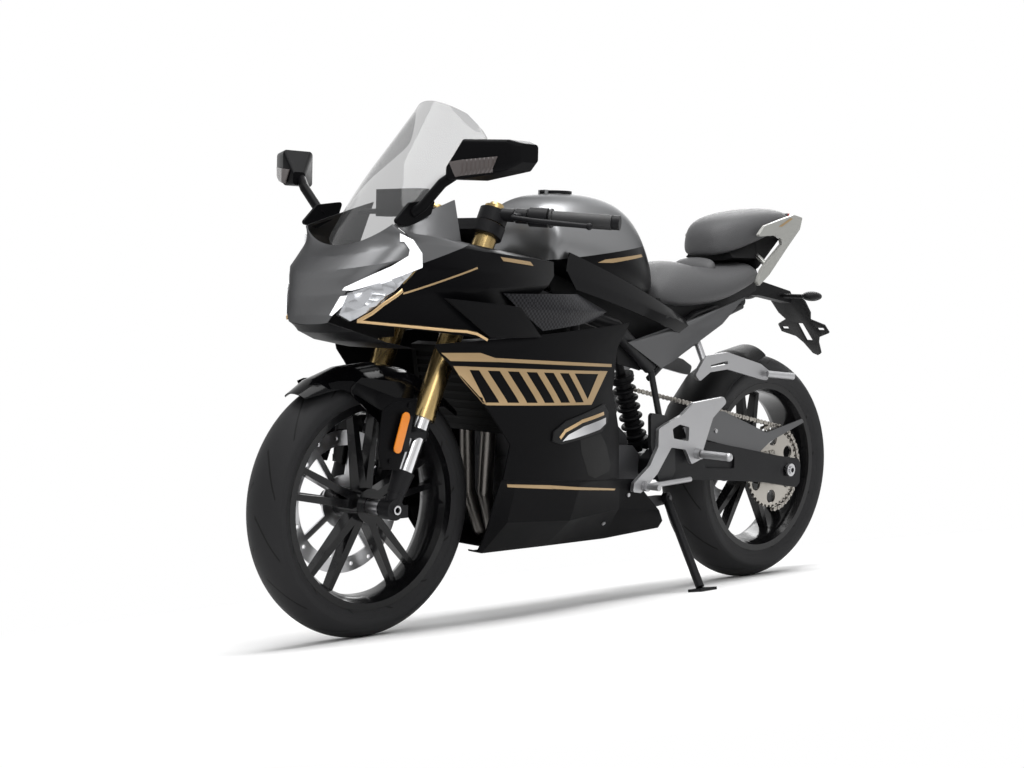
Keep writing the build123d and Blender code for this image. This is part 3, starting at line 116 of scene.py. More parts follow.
def material(name, color, rough, metal=0.0, grain=0.0, grain_size=0.001, patchy=0.06, coat=0.0, specular=0.5,
             edge=1.0):
    """Principled material with slightly uneven roughness and, where asked, a fine grain."""
    made = bpy.data.materials.new(name)
    made.use_nodes = True
    tree, shader = made.node_tree, shader_of(made)
    for key, value in (("Base Color", (*color, 1)), ("Metallic", metal), ("Coat Weight", coat),
                       ("Coat Roughness", 0.06), ("Specular IOR Level", specular),
                       ("Specular Tint", (edge, edge, edge, 1))):
        shader.inputs[key].default_value = value
    coords = upright_coords(tree)
    noise = add(tree, "ShaderNodeTexNoise", coords, {"Scale": 1 / PATCH_SIZE})
    spread = add(tree, "ShaderNodeMapRange", noise.outputs["Fac"],
                 {"To Min": max(rough - patchy, 0.02), "To Max": rough + patchy})
    tree.links.new(spread.outputs["Result"], shader.inputs["Roughness"])
    if grain:
        fine = add(tree, "ShaderNodeTexNoise", coords, {"Scale": 1 / grain_size})
        bumped(tree, fine.outputs["Fac"], grain, grain_size)
    return made


LOOKS = {
    "tyre": material("tyre_rubber", (0.014, 0.014, 0.015), 0.6, specular=0.2, grain=0.25, grain_size=0.0008),
    "wheel_black": material("wheel_paint", (0.004, 0.004, 0.0045), 0.22, coat=0.1, specular=0.2),
    "disc_steel": material("disc_steel", (0.5, 0.5, 0.51), 0.3, 1.0, grain=0.05),
    "chain_steel": material("chain_steel", (0.36, 0.34, 0.31), 0.38, 1.0),
    "fork_gold": material("fork_gold", (0.4, 0.29, 0.13), 0.26, 1.0),
    "slider_chrome": material("slider_chrome", (0.6, 0.6, 0.61), 0.16, 1.0, patchy=0.03),
    "cast_black": material("cast_black", (0.007, 0.007, 0.008), 0.45, specular=0.14, grain=0.2, grain_size=0.0015),
    "alloy_silver": material("alloy_silver", (0.36, 0.36, 0.368), 0.4, 0.9, grain=0.25, grain_size=0.0012),
    "steel_axle": material("steel_axle", (0.45, 0.45, 0.46), 0.3, 1.0),
    "frame_paint": material("frame_paint", (0.012, 0.012, 0.013), 0.38, specular=0.2),
    "engine_grey": material("engine_grey", (0.04, 0.04, 0.043), 0.5, 0.4, grain=0.3, grain_size=0.0015),
    "radiator_black": material("radiator_black", (0.004, 0.004, 0.004), 0.5, specular=0.12),
    "exhaust_steel": material("exhaust_steel", (0.16, 0.15, 0.14), 0.34, 1.0),
    "body_satin_black": material("satin_black", (0.004, 0.004, 0.0045), 0.36, specular=0.04),
    "body_gloss_black": material("gloss_black", (0.002, 0.002, 0.0025), 0.12, patchy=0.02, specular=0.1),
    "body_gunmetal": material("gunmetal", (0.13, 0.131, 0.134), 0.32, 0.85, patchy=0.03, specular=0.15, edge=0.2),
    "body_light_grey": material("light_grey", (0.34, 0.34, 0.32), 0.34, 0.4, coat=0.3),
    "trim_plastic": material("trim_plastic", (0.006, 0.006, 0.0065), 0.5, specular=0.14, grain=0.25, grain_size=0.001),
    "carbon_pattern": material("carbon_check", (0.012, 0.012, 0.014), 0.35, specular=0.12),
    "seat_cover": material("seat_cover", (0.05, 0.05, 0.052), 0.55, specular=0.4, grain=0.5, grain_size=0.0015),
    "rubber_grip": material("grip_rubber", (0.012, 0.012, 0.013), 0.6, grain=0.3),
    "screen_smoke": material("screen", (0.1, 0.101, 0.103), 0.04, patchy=0.01),
    "lamp_clear": material("lamp_lens", (0.9, 0.92, 0.95), 0.03, patchy=0.01),
    "lamp_red": material("lamp_red", (0.3, 0.01, 0.01), 0.15, coat=0.5),
    "reflector_amber": material("reflector_amber", (0.75, 0.22, 0.008), 0.25),
}
shader_of(LOOKS["screen_smoke"]).inputs["Alpha"].default_value = 0.32
shader_of(LOOKS["lamp_clear"]).inputs["Transmission Weight"].default_value = 0.95
shader_of(LOOKS["lamp_clear"]).inputs["IOR"].default_value = 1.2

tree = LOOKS["carbon_pattern"].node_tree
weave = add(tree, "ShaderNodeTexChecker", upright_coords(tree),
            {"Scale": 170, "Color1": (0.004, 0.004, 0.005, 1), "Color2": (0.022, 0.022, 0.025, 1)})
tree.links.new(weave.outputs["Color"], shader_of(LOOKS["carbon_pattern"]).inputs["Base Color"])


def two_tone(name, above, below, height, slope, lit_above=None):
    """Paint that changes colour across a line: above where z > height + slope * x. A lit_above colour, where given,
    paints light on the part above the line.
    """
    made = LOOKS[above].copy()
    made.name = name
    tree = made.node_tree
    shader, other = shader_of(made), shader_of(LOOKS[below])
    x, _, z = add(tree, "ShaderNodeSeparateXYZ", upright_coords(tree)).outputs
    level = calc(tree, "SUBTRACT", calc(tree, "SUBTRACT", z, calc(tree, "MULTIPLY", x, slope)), height)
    over = calc(tree, "GREATER_THAN", level, 0.0)
    colour = add(tree, "ShaderNodeMix", data_type="RGBA")
    tree.links.new(over, colour.inputs["Factor"])
    colour.inputs[6].default_value = other.inputs["Base Color"].default_value
    colour.inputs[7].default_value = (*lit_above, 1) if lit_above else shader.inputs["Base Color"].default_value
    tree.links.new(colour.outputs[2], shader.inputs["Base Color"])
    low, high = other.inputs["Metallic"].default_value, shader.inputs["Metallic"].default_value
    tree.links.new(calc(tree, "MULTIPLY_ADD", over, high - low, low), shader.inputs["Metallic"])
    return made


# ---- pieces ---------------------------------------------------------------------------------------------------------


def new_object(name, data):
    """An object in the scene that holds the data given."""
    obj = bpy.data.objects.new(name, data)
    bpy.context.scene.collection.objects.link(obj)
    return obj


def deselect():
    if bpy.context.mode != "OBJECT":
        bpy.ops.object.mode_set(mode="OBJECT")
    bpy.ops.object.select_all(action="DESELECT")


def pick(obj):
    """Makes a piece the only one selected, and the active one."""
    deselect()
    obj.select_set(True)
    bpy.context.view_layer.objects.active = obj
    return obj


def finish_piece(obj, name, body, slot, replaces=(), look=None, upright=True, smooth=35):
    """Names a finished piece, leans it, and hands it to its body."""
    obj.name = name
    obj.data.name = name
    if upright:
        obj.data.transform(LEANED)
    pick(obj)
    bpy.ops.object.shade_smooth_by_angle(angle=radians(smooth))
    obj.data.materials.clear()
    obj.data.materials.append(look or LOOKS[slot])
    if replaces:
        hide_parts(*replaces)
    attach(obj, body)
    return obj


def apply(obj, kind, **values):
    """Adds a modifier and applies it."""
    pick(obj)
    made = obj.modifiers.new(kind.lower(), kind)
    for key, value in values.items():
        setattr(made, key, value)
    if kind == "SUBSURF":
        made.render_levels = made.levels
    bpy.ops.object.modifier_apply(modifier=made.name)


MERGE, FLAT_ANGLE, BEVEL_ANGLE, SKIN_SMOOTH = 0.00002, 0.5, 28, 32


def dressed(node, bevel):
    """A merged copy of a CAD node with broken edges, in its place."""
    source = frame["nodes"][node]
    obj = new_object(node + "_skin", source.data.copy())
    pick(obj)
    bpy.ops.object.mode_set(mode="EDIT")
    bpy.ops.mesh.select_all(action="SELECT")
    bpy.ops.mesh.remove_doubles(threshold=MERGE)
    bpy.ops.mesh.dissolve_limited(angle_limit=radians(FLAT_ANGLE))
    bpy.ops.mesh.select_all(action="SELECT")
    bpy.ops.mesh.normals_make_consistent(inside=False)
    bpy.ops.object.mode_set(mode="OBJECT")
    apply(obj, "BEVEL", width=bevel, segments=2, limit_method="ANGLE", angle_limit=radians(BEVEL_ANGLE),
          use_clamp_overlap=True, harden_normals=False)
    finish_piece(obj, node + "_skin", body_of[node], slot_of[node], (node,), upright=False, smooth=SKIN_SMOOTH)
    apply(obj, "WEIGHTED_NORMAL", keep_sharp=True)
    return obj


for name, obj in frame["nodes"].items():
    obj.data.materials.clear()
    obj.data.materials.append(LOOKS[slot_of[name]])

# ---- shapes ---------------------------------------------------------------------------------------------------------


def edit(obj, *steps):
    """Runs edit-mode operators on the whole piece."""
    pick(obj)
    bpy.ops.object.mode_set(mode="EDIT")
    bpy.ops.mesh.select_all(action="SELECT")
    for step, values in steps:
        getattr(bpy.ops.mesh, step)(**values)
    bpy.ops.object.mode_set(mode="OBJECT")
    return obj


def loft(name, rings, levels):
    """Skins closed rings of points by extruding one into the next, then smooths the result."""
    deselect()
    bpy.ops.mesh.primitive_circle_add(vertices=len(rings[0]), fill_type="NGON")
    obj = bpy.context.object
    order = list(range(len(rings[0])))
    for index, point in zip(order, rings[0]):
        obj.data.vertices[index].co = point
    for ring in rings[1:]:
        old = [obj.data.vertices[i].co.copy() for i in order]
        bpy.ops.object.mode_set(mode="EDIT")
        bpy.ops.mesh.extrude_region_move(TRANSFORM_OT_translate={"value": (0, 0, 0)})
        bpy.ops.object.mode_set(mode="OBJECT")
        fresh = [v.index for v in obj.data.vertices if v.select]
        order = [min(fresh, key=lambda i, p=place: (obj.data.vertices[i].co - p).length) for place in old]
        for index, point in zip(order, ring):
            obj.data.vertices[index].co = point
    edit(obj, ("normals_make_consistent", {"inside": False}))
    if levels:
        apply(obj, "SUBSURF", levels=levels)
    obj.name = name
    return obj


def mirrored_rings(sections):
    """Full rings from (x, [(y, z) of the left half, bottom to top]) in millimetres."""
    rings = []
    for x, half in sections:
        left = [(x / 1000, y / 1000, z / 1000) for y, z in half]
        right = [(px, -py, pz) for px, py, pz in reversed(left[1:-1])]
        rings.append(left + right)
    return rings


def cylinder(start, end, radius, vertices=24, bevel=0.0004):
    """A round piece between two points, in millimetres, with broken edges."""
    start, end = Vector(start) / 1000, Vector(end) / 1000
    deselect()
    bpy.ops.mesh.primitive_cylinder_add(vertices=vertices, radius=radius / 1000, depth=(end - start).length)
    obj = bpy.context.object
    turned = (end - start).to_track_quat("Z", "Y").to_matrix().to_4x4()
    obj.data.transform(Matrix.Translation((start + end) / 2) @ turned)
    if bevel:
        apply(obj, "BEVEL", width=bevel, segments=2, limit_method="ANGLE")
    return obj


def join(objects):
    """Joins pieces into the first of them."""
    pick(objects[0])
    for obj in objects[1:]:
        obj.select_set(True)
    bpy.ops.object.join()
    return objects[0]


def slab(outline, y_low, y_high, bevel=0.0006):
    """A plate between two Y values with an outline of (x, z), all in millimetres."""
    rings = [[Vector((x, y, z)) / 1000 for x, z in outline] for y in (y_low, y_high)]
    obj = loft("slab", rings, 0)
    if bevel:
        apply(obj, "BEVEL", width=bevel, segments=2, limit_method="ANGLE")
    return obj


def other_side(obj):
    """A copy mirrored to the right-hand side."""
    copy = new_object(obj.name, obj.data.copy())
    copy.data.transform(Matrix.Scale(-1, 4, (0, 1, 0)))
    return edit(copy, ("normals_make_consistent", {"inside": False}))


def bolt(place, normal, radius=4.5, head=3):
    """Socket-head bolt standing on a place, in millimetres."""
    place, normal = Vector(place), Vector(normal).normalized()
    obj = cylinder(place - normal * 2, place + normal * head, radius, 16, 0)
    top = max(obj.data.polygons, key=lambda p: p.center.dot(normal))
    pick(obj)
    for polygon in obj.data.polygons:
        polygon.select = polygon.index == top.index
    bpy.ops.object.mode_set(mode="EDIT")
    bpy.ops.mesh.select_mode(type="FACE")
    bpy.ops.mesh.inset(thickness=radius * 0.00045)
    bpy.ops.mesh.extrude_region_move(TRANSFORM_OT_translate={"value": -normal * head * 0.0005})
    bpy.ops.object.mode_set(mode="OBJECT")
    return obj


# ---- tyres ----------------------------------------------------------------------------------------------------------
TYRE_STEPS, WALL_STEPS, CROWN_STEPS = 288, 8, 12
CROWN_DROP = 0.52    # height of the crown's arc as a share of the tyre's half width
WALL_BULGE, BEAD_INSIDE, CASING = 0.0012, 0.012, 0.009


def tyre(name, node, centre, radius, half, rim_half):
    """A tyre spun from its section."""
    drop = CROWN_DROP * half
    low = radius - drop
    crown = (half * half + drop * drop) / (2 * drop)
    section = [(RIM_BEAD_R, rim_half - 0.006), (RIM_BEAD_R, rim_half)]
    for step in range(1, WALL_STEPS):
        t = step / WALL_STEPS
        section.append((RIM_BEAD_R + (low - RIM_BEAD_R) * t,
                        rim_half + (half - rim_half) * sin(t * pi / 2) + WALL_BULGE * sin(t * pi)))
    edge = atan2(half, crown - drop)
    for step in range(CROWN_STEPS + 1):
        angle = edge * (1 - step / CROWN_STEPS)
        section.append((radius - crown + crown * cos(angle), crown * sin(angle)))
    section += [(r, -y) for r, y in reversed(section[:-1])]
    shoulder = (radius - CASING - 0.002, half * 0.55)
    heel = (RIM_BEAD_R + 0.02, rim_half - BEAD_INSIDE)
    section += [(heel[0], -heel[1]), (shoulder[0], -shoulder[1]), (radius - CASING, 0), shoulder, heel]
    deselect()
    bpy.ops.mesh.primitive_circle_add(vertices=len(section), fill_type="NOTHING")
    obj = bpy.context.object
    for vertex, (r, y) in zip(obj.data.vertices, section):
        vertex.co = (centre.x, y, centre.z + r)
    edit(obj, ("spin", {"steps": TYRE_STEPS, "angle": 2 * pi, "center": centre, "axis": (0, 1, 0)}),
         ("select_all", {"action": "SELECT"}), ("remove_doubles", {"threshold": 0.00003}),
         ("normals_make_consistent", {"inside": False}))
    return finish_piece(obj, name, body_of[node], "tyre", (node,), look=tread(name + "_tread", centre, half, radius),
                        smooth=50)


GROOVE_PITCHES, GROOVE_BOW, GROOVE_HALF = 13, 0.95, 0.03
GROOVES_FROM, GROOVES_TO = 0.12, 0.86              # shares of the tyre's half width
WALL_RINGS = ((0.243, 0.0012), (-0.034, 0.0008))   # radius, or how far inside the tyre's own, and half width


def tread(name, centre, half, radius):
    """Tyre rubber with slanting grooves, painted near black as shade inside them, and rings on the sidewall."""
    made = LOOKS["tyre"].copy()
    made.name = name
    tree = made.node_tree

    def within(value, middle, half_width):
        return calc(tree, "LESS_THAN", calc(tree, "ABSOLUTE", calc(tree, "SUBTRACT", value, middle)), half_width)

    x, y, z = add(tree, "ShaderNodeSeparateXYZ", upright_coords(tree)).outputs
    x, z = calc(tree, "SUBTRACT", x, centre.x), calc(tree, "SUBTRACT", z, centre.z)
    reach = calc(tree, "SQRT", calc(tree, "ADD", calc(tree, "MULTIPLY", x, x), calc(tree, "MULTIPLY", z, z)))
    angle = calc(tree, "MULTIPLY", calc(tree, "ARCTAN2", z, x), GROOVE_PITCHES / (2 * pi))
    side = calc(tree, "MULTIPLY", calc(tree, "GREATER_THAN", y, 0.0), 0.5)
    wide = calc(tree, "DIVIDE", calc(tree, "ABSOLUTE", y), half)
    bow = calc(tree, "MULTIPLY", calc(tree, "POWER", wide, 1.6), GROOVE_BOW)
    phase = calc(tree, "FRACT", calc(tree, "ADD", calc(tree, "ADD", calc(tree, "ADD", angle, side), bow), 40.0))
    groove = within(phase, 0.5, GROOVE_HALF)
    groove = calc(tree, "MULTIPLY", groove, calc(tree, "GREATER_THAN", wide, GROOVES_FROM))
    groove = calc(tree, "MULTIPLY", groove, calc(tree, "LESS_THAN", wide, GROOVES_TO))
    ring = calc(tree, "ADD", *(within(reach, r if r > 0 else radius + r, thick) for r, thick in WALL_RINGS))
    height = calc(tree, "SUBTRACT", calc(tree, "MULTIPLY", ring, 0.35), groove)
    grain = tree.nodes["Bump"]
    deep = bumped(tree, height, 0.9, 0.005)
    tree.links.new(grain.outputs["Normal"], deep.inputs["Normal"])
    # painted shade: the grooves take a near-black rubber colour for the shade inside them
    groove_shade = add(tree, "ShaderNodeMix", data_type="RGBA")
    tree.links.new(groove, groove_shade.inputs["Factor"])
    groove_shade.inputs[6].default_value = shader_of(made).inputs["Base Color"].default_value
    groove_shade.inputs[7].default_value = (0.0005, 0.0005, 0.0005, 1)
    tree.links.new(groove_shade.outputs[2], shader_of(made).inputs["Base Color"])
    return made


tyre("front_tyre_round", "front_tyre", FRONT_AXLE, FRONT_TYRE_R, FRONT_TYRE_HALF, FRONT_RIM_HALF)
tyre("rear_tyre_round", "rear_tyre", REAR_AXLE, REAR_TYRE_R, REAR_TYRE_HALF, REAR_RIM_HALF)

# ---- tank and seats -------------------------------------------------------------------------------------------------
tank = loft("tank_shell", mirrored_rings([
    (240, [(0, 850), (70, 824), (100, 836), (122, 870), (118, 930), (74, 966), (0, 972)]),
    (182, [(0, 812), (74, 796), (120, 806), (146, 846), (143, 934), (88, 997), (0, 1006)]),
    (60, [(0, 786), (74, 770), (132, 780), (158, 830), (153, 924), (94, 1004), (0, 1013)]),
    (-60, [(0, 770), (70, 758), (124, 766), (147, 805), (139, 908), (86, 988), (0, 1005)]),
    (-132, [(0, 760), (62, 752), (100, 758), (118, 790), (111, 864), (68, 936), (0, 956)]),
    (-184, [(0, 758), (50, 756), (70, 758), (86, 778), (80, 802), (46, 832), (0, 841)])]), 3)
neck = cylinder((92, 0, 940), (92, 0, 1005), 37, 48)
hinge_ears = [slab([(132, 960), (140.5, 960), (140.5, 1013), (132, 1013)], y, y + 5) for y in (8.4, -13.4)]
# the tank's top is the nose's gunmetal painted lighter, as painted light where the top faces the lamps; the black
# below is the paint's second colour
TANK_PAINT_LIT_TOP = two_tone("tank_paint_lit_top", "body_gunmetal", "body_gloss_black", 0.873, -0.133, (0.22, 0.222, 0.226))
finish_piece(join([tank, neck, *hinge_ears]), "tank_shell", "chassis", "body_gunmetal", ("fuel_tank",),
             look=TANK_PAINT_LIT_TOP, smooth=40)

seat = loft("rider_seat_pad", mirrored_rings([
    (-184.5, [(0, 742), (60, 742), (84, 750), (74, 786), (0, 800)]),
    (-206, [(0, 740), (76, 740), (106, 754), (84, 812), (0, 826)]),
    (-262, [(0, 736), (94, 736), (128, 752), (88, 842), (0, 856)]),
    (-318, [(0, 738), (112, 738), (142, 762), (98, 848), (0, 864)]),
    (-368, [(0, 742), (120, 743), (148, 770), (118, 834), (0, 850)]),
    (-430, [(0, 752), (122, 755), (146, 782), (122, 834), (0, 848)]),
    (-500, [(0, 774), (114, 778), (134, 802), (118, 844), (0, 854)]),
    (-560, [(0, 792), (102, 798), (120, 818), (106, 858), (0, 868)]),
    (-592, [(0, 804), (90, 810), (100, 824), (88, 852), (0, 862)])]), 3)
step_pad = loft("step", mirrored_rings([
    (-412, [(0, 800), (70, 800), (74, 836), (60, 844), (0, 848)]),
    (-440, [(0, 800), (68, 800), (74, 848), (58, 866), (0, 872)]),
    (-453, [(0, 800), (66, 800), (70, 850), (54, 866), (0, 871)])]), 2)
seat = join([seat, step_pad])
finish_piece(seat, "rider_seat_pad", "chassis", "seat_cover", ("rider_seat",), smooth=60)

pillion = loft("pillion_pad", mirrored_rings([
    (x, [(0, base), (0.85 * half, base), (half * 1.03, base + 16), (0.9 * half, top - 8), (0, top + 2)])
    for x, base, half, top in [(-453, 872, 40, 930), (-472, 874, 66, 962), (-508, 882, 92, 982),
                               (-600, 914, 104, 1002), (-700, 948, 98, 1012), (-755, 972, 76, 1008)]]), 3)
finish_piece(pillion, "pillion_pad", "chassis", "seat_cover", ("pillion_seat",), smooth=60)

# ---- castings and panels with broken edges --------------------------------------------------------------------------
# PLAIN nodes show as they are, or another piece replaces them; DONE ones have their own meshes
PLAIN = {"fork_tubes", "fork_sliders", "front_axle", "rear_axle", "drive_chain", "rear_shock", "exhaust_pipe"}
DONE = {"front_tyre", "rear_tyre", "fuel_tank", "rider_seat", "pillion_seat", "side_vents", "windscreen"}
WIDE_EDGE = {"nose_cowl": 0.0025, "upper_fairings": 0.0018, "tank_side_covers": 0.0025, "side_fairings": 0.0012,
             "mirrors": 0.004, "seat_side_panels": 0.002, "tail_cowl": 0.002, "belly_fairings": 0.002, "engine": 0.003,
             "swingarm": 0.002, "winglets": 0.0012, "mid_fairings": 0.0012}
EDGE = 0.0009
skins = {node: dressed(node, WIDE_EDGE.get(node, EDGE)) for node in slot_of if node not in PLAIN and node not in DONE}

# ---- painted lines, inserts and painted shade on the panels ---------------------------------------------------------
PAINT_LIFT = 0.0009
BESIDE = 0.4         # a plane to the left of the motorcycle, from which patches are cast inward
MIDDLE_GAP = 0.02    # a ray that lands nearer the middle has missed the left panel


def on_panel(target, point, lift=PAINT_LIFT, way=(0, -1, 0), near=(None, 0.19, None)):
    """The place on a skin straight inward from a point, or nearest to the point once near's values replace its own."""
    found, place, normal, _ = target.ray_cast(LEANED @ Vector(point), turn @ Vector(way))
    if not found or (UPRIGHT @ place).y < MIDDLE_GAP:
        spot = [own if other is None else other for own, other in zip(point, near)]
        found, place, normal, _ = target.closest_point_on_mesh(LEANED @ Vector(spot))
    return UPRIGHT @ (place + normal * lift)


def patch(target, outline, cell=0.009, lift=PAINT_LIFT):
    """A thin patch over a panel, cut to a convex outline of (x, z) in millimetres."""
    corners = [(x / 1000, z / 1000) for x, z in outline]
    low_x, high_x = min(c[0] for c in corners), max(c[0] for c in corners)
    low_z, high_z = min(c[1] for c in corners), max(c[1] for c in corners)
    centre = Vector(((low_x + high_x) / 2, BESIDE, (low_z + high_z) / 2))
    deselect()
    bpy.ops.mesh.primitive_grid_add(x_subdivisions=max(2, int((high_x - low_x) / cell)),
                                    y_subdivisions=max(2, int((high_z - low_z) / cell)), size=1)
    obj = bpy.context.object
    flat = Matrix(((high_x - low_x, 0, 0, 0), (0, 0, 1, 0), (0, high_z - low_z, 0, 0), (0, 0, 0, 1)))
    obj.data.transform(Matrix.Translation(centre) @ flat)
    pick(obj)
    bpy.ops.object.mode_set(mode="EDIT")
    middle = Vector((sum(c[0] for c in corners), 0, sum(c[1] for c in corners))) / len(corners)
    for start, end in zip(corners, corners[1:] + corners[:1]):
        edge = Vector((end[0] - start[0], 0, end[1] - start[1]))
        outward = Vector((edge.z, 0, -edge.x)).normalized()
        if outward.dot(middle - Vector((start[0], 0, start[1]))) > 0:
            outward = -outward
        bpy.ops.mesh.select_all(action="SELECT")
        bpy.ops.mesh.bisect(plane_co=(start[0], BESIDE, start[1]), plane_no=outward, clear_outer=True)
    bpy.ops.object.mode_set(mode="OBJECT")
    for vertex in obj.data.vertices:
        vertex.co = on_panel(target, vertex.co, lift)
    outside = [p for p in obj.data.polygons if p.normal.y < 0]
    if len(outside) > len(obj.data.polygons) / 2:
        edit(obj, ("flip_normals", {}))
    return obj


def line(target, points, width, lift=PAINT_LIFT):
    """A painted line of a width in millimetres through (x, z) points."""
    pieces = []
    for (x1, z1), (x2, z2) in zip(points, points[1:]):
        run = Vector((x2 - x1, z2 - z1)).normalized()
        off = Vector((-run.y, run.x)) * width / 2
        grow = run * width * 0.3
        ends = [(x1 - grow.x, z1 - grow.y), (x2 + grow.x, z2 + grow.y)]
        outline = [(x + off.x, z + off.y) for x, z in ends] + [(x - off.x, z - off.y) for x, z in reversed(ends)]
        pieces.append(patch(target, outline, lift=lift))
    return pieces


def paint(name, pieces, look, slot="body_gloss_black", thick=0.0):
    """Joins painted pieces of the left side, adds the right side, and fixes them to the bodywork."""
    left = join(pieces)
    if thick:
        apply(left, "SOLIDIFY", thickness=thick, offset=1)
        apply(left, "BEVEL", width=min(0.0008, thick / 3), segments=2, limit_method="ANGLE")
    return finish_piece(join([left, other_side(left)]), name, "chassis", slot, look=look)


GOLD_PAINT = material("gold_paint", (0.36, 0.25, 0.13), 0.36, 0.55)
GOLD_TRIM = material("gold_trim", (0.5, 0.34, 0.17), 0.25, 0.8, coat=0.5)
LAMP_WHITE = material("lamp_white", (0.92, 0.93, 0.95), 0.2, coat=1.0)
shader_of(LAMP_WHITE).inputs["Emission Color"].default_value = (1, 1, 1, 1)
shader_of(LAMP_WHITE).inputs["Emission Strength"].default_value = 0.35

side, belly, upper = skins["side_fairings"], skins["belly_fairings"], skins["upper_fairings"]
upper.data.materials[0] = two_tone("upper_paint", "body_gunmetal", "body_gloss_black", 1.051, -0.33)
band = [patch(side, [(619, 634), (523, 634), (485, 623), (471, 614), (598, 617)]),
        patch(side, [(485, 623), (65, 602), (65, 595), (471, 614)])]
band += [patch(side, [(591, 606), (556, 605), (506, 521), (536, 521)]),
         patch(side, [(128, 588), (87, 586), (170, 511), (198, 512)])]
band += line(side, [(575, 602), (100, 583)], 7) + line(side, [(540, 524), (172, 514)], 6)
BARS, BAR_PITCH = 6, 54
for bar in range(BARS):
    shift = BAR_PITCH * bar
    band.append(patch(side, [(528 - shift, 597 - shift * 0.04), (506 - shift, 596 - shift * 0.04),
                             (450 - shift, 522 - shift * 0.02), (472 - shift, 522 - shift * 0.02)]))
paint("side_gold_band", band, GOLD_PAINT)
paint("belly_gold_line", [patch(belly, [(427, 341), (295, 331), (281, 321), (423, 334)]),
                          patch(belly, [(295, 331), (27, 302), (31, 298), (285, 322)])], GOLD_PAINT)
paint("nose_gold_line", line(upper, [(722, 760), (616, 795), (545, 818)], 4)
      + [patch(upper, [(469, 844), (365, 836), (355, 827), (461, 835)])], GOLD_PAINT)
tank_mark = patch(tank, [(98, 841), (75, 849), (-77, 866), (-84, 860), (47, 842)], cell=0.006, lift=0.0008)
paint("tank_gold_line", [tank_mark], GOLD_PAINT)
tail_mark = patch(skins["tail_cowl"], [(-632, 956), (-646, 956), (-694, 979), (-684, 981)], cell=0.005, lift=0.0008)
paint("tail_gold_mark", [tail_mark], GOLD_PAINT, "body_light_grey")

VENT_RIM = [(317, 434), (315, 455), (273, 478), (117, 510), (92, 490), (101, 467), (133, 446), (287, 426)]
VENT_SLAT = [(285, 433), (265, 447), (210, 463), (110, 478), (112, 464), (142, 452), (254, 436)]
VENT_HOLLOW_SHADE = [(217, 432), (133, 443), (99, 413), (66, 362), (73, 348), (138, 337), (170, 347), (208, 403)]
vent = paint("vent_rim", [patch(side, VENT_RIM, lift=0.0003)], LOOKS["trim_plastic"], "trim_plastic", thick=0.004)
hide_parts("side_vents")
paint("vent_gold", line(side, [(292, 442), (277, 456), (216, 475), (122, 488)], 8, lift=0.0052), GOLD_TRIM)
paint("vent_slat", [patch(side, VENT_SLAT, lift=0.0048)], LOOKS["slider_chrome"], "alloy_silver")
# painted shade: a flat near-black patch on the fairing where it has a hollow below the vent
paint("vent_hollow_shade", [patch(side, VENT_HOLLOW_SHADE, lift=0.0004)], LOOKS["radiator_black"], "trim_plastic")


def ribbon(name, outer, inner, look, slot, thick=0.005, body="chassis"):
    """A band between two edges of 3-D points in millimetres, with thickness, on both sides."""
    deselect()
    bpy.ops.mesh.primitive_grid_add(x_subdivisions=len(outer) - 1, y_subdivisions=1, size=1)
    obj = bpy.context.object
    columns = sorted({round(v.co.x, 5) for v in obj.data.vertices})
    for vertex in obj.data.vertices:
        edge = outer if vertex.co.y < 0 else inner
        vertex.co = Vector(edge[columns.index(round(vertex.co.x, 5))]) / 1000
    if sum(p.normal.y + p.normal.x for p in obj.data.polygons) < 0:
        edit(obj, ("flip_normals", {}))
    apply(obj, "SOLIDIFY", thickness=thick, offset=0)
    apply(obj, "BEVEL", width=0.001, segments=2, limit_method="ANGLE")
    return finish_piece(join([obj, other_side(obj)]), name, body, slot, look=look)


ribbon("running_light", [(727, 160, 886), (706, 179, 873), (690, 190, 845), (690, 192, 815), (750, 155, 786),
                         (812, 109, 763), (828, 95, 763)],
       [(727, 160, 868), (721, 167, 868), (713, 176, 852), (716, 176, 839), (746, 158, 817), (782, 134, 797),
        (823, 98, 770)], LAMP_WHITE, "lamp_clear")
ribbon("lower_light", [(820, 104, 753), (826, 96, 730), (840, 79, 709)],
       [(830, 93, 751), (836, 85, 734), (844, 75, 711)], LAMP_WHITE, "lamp_clear")
trim_low = [(806, 121, 703), (700, 165, 694), (640, 184, 689), (602, 192, 686), (563, 198, 684), (536, 203, 679),
            (509, 208, 666)]
ribbon("lower_gold_trim", trim_low, [(x, y - 3, z - 6) for x, y, z in trim_low], GOLD_TRIM, "body_gloss_black")
trim_up = [(806, 119, 703), (781, 137, 721), (763, 153, 741), (738, 165, 760), (728, 172, 771)]
ribbon("upper_gold_trim", trim_up, [(x - 2, y + 2, z - 8) for x, y, z in trim_up], GOLD_TRIM, "body_gloss_black")

# ---- windscreen -----------------------------------------------------------------------------------------------------
SCREEN_SLOPE = radians(53)
back = Vector((-sin(SCREEN_SLOPE), 0, -cos(SCREEN_SLOPE)))
ARC = [k / 16 - 1 for k in range(33)]   # places across the sheet, from -1 to 1
# x and z of the middle, half width, and how far the edges lie back
LEVELS = [(768, 856, 14, 1), (748, 884, 66, 16), (716, 928, 110, 40), (672, 985, 134, 54), (620, 1052, 146, 68),
          (566, 1122, 145, 92), (531, 1168, 130, 98), (514, 1191, 88, 50)]
SCREEN_STEPS, SCREEN_THICK = 4, 0.003


def between_levels(table, steps):
    """More levels on smooth curves through those of a table."""
    rows = [Vector(row) for row in table]
    fine = []
    for index in range(len(rows) - 1):
        p0, p1, p2, p3 = (rows[min(max(index + k, 0), len(rows) - 1)] for k in (-1, 0, 1, 2))
        for step in range(steps):
            t = step / steps
            fine.append(0.5 * (2 * p1 + (p2 - p0) * t + (2 * p0 - 5 * p1 + 4 * p2 - p3) * t ** 2
                               + (3 * p1 - p0 - 3 * p2 + p3) * t ** 3))
    return fine + [rows[-1]]


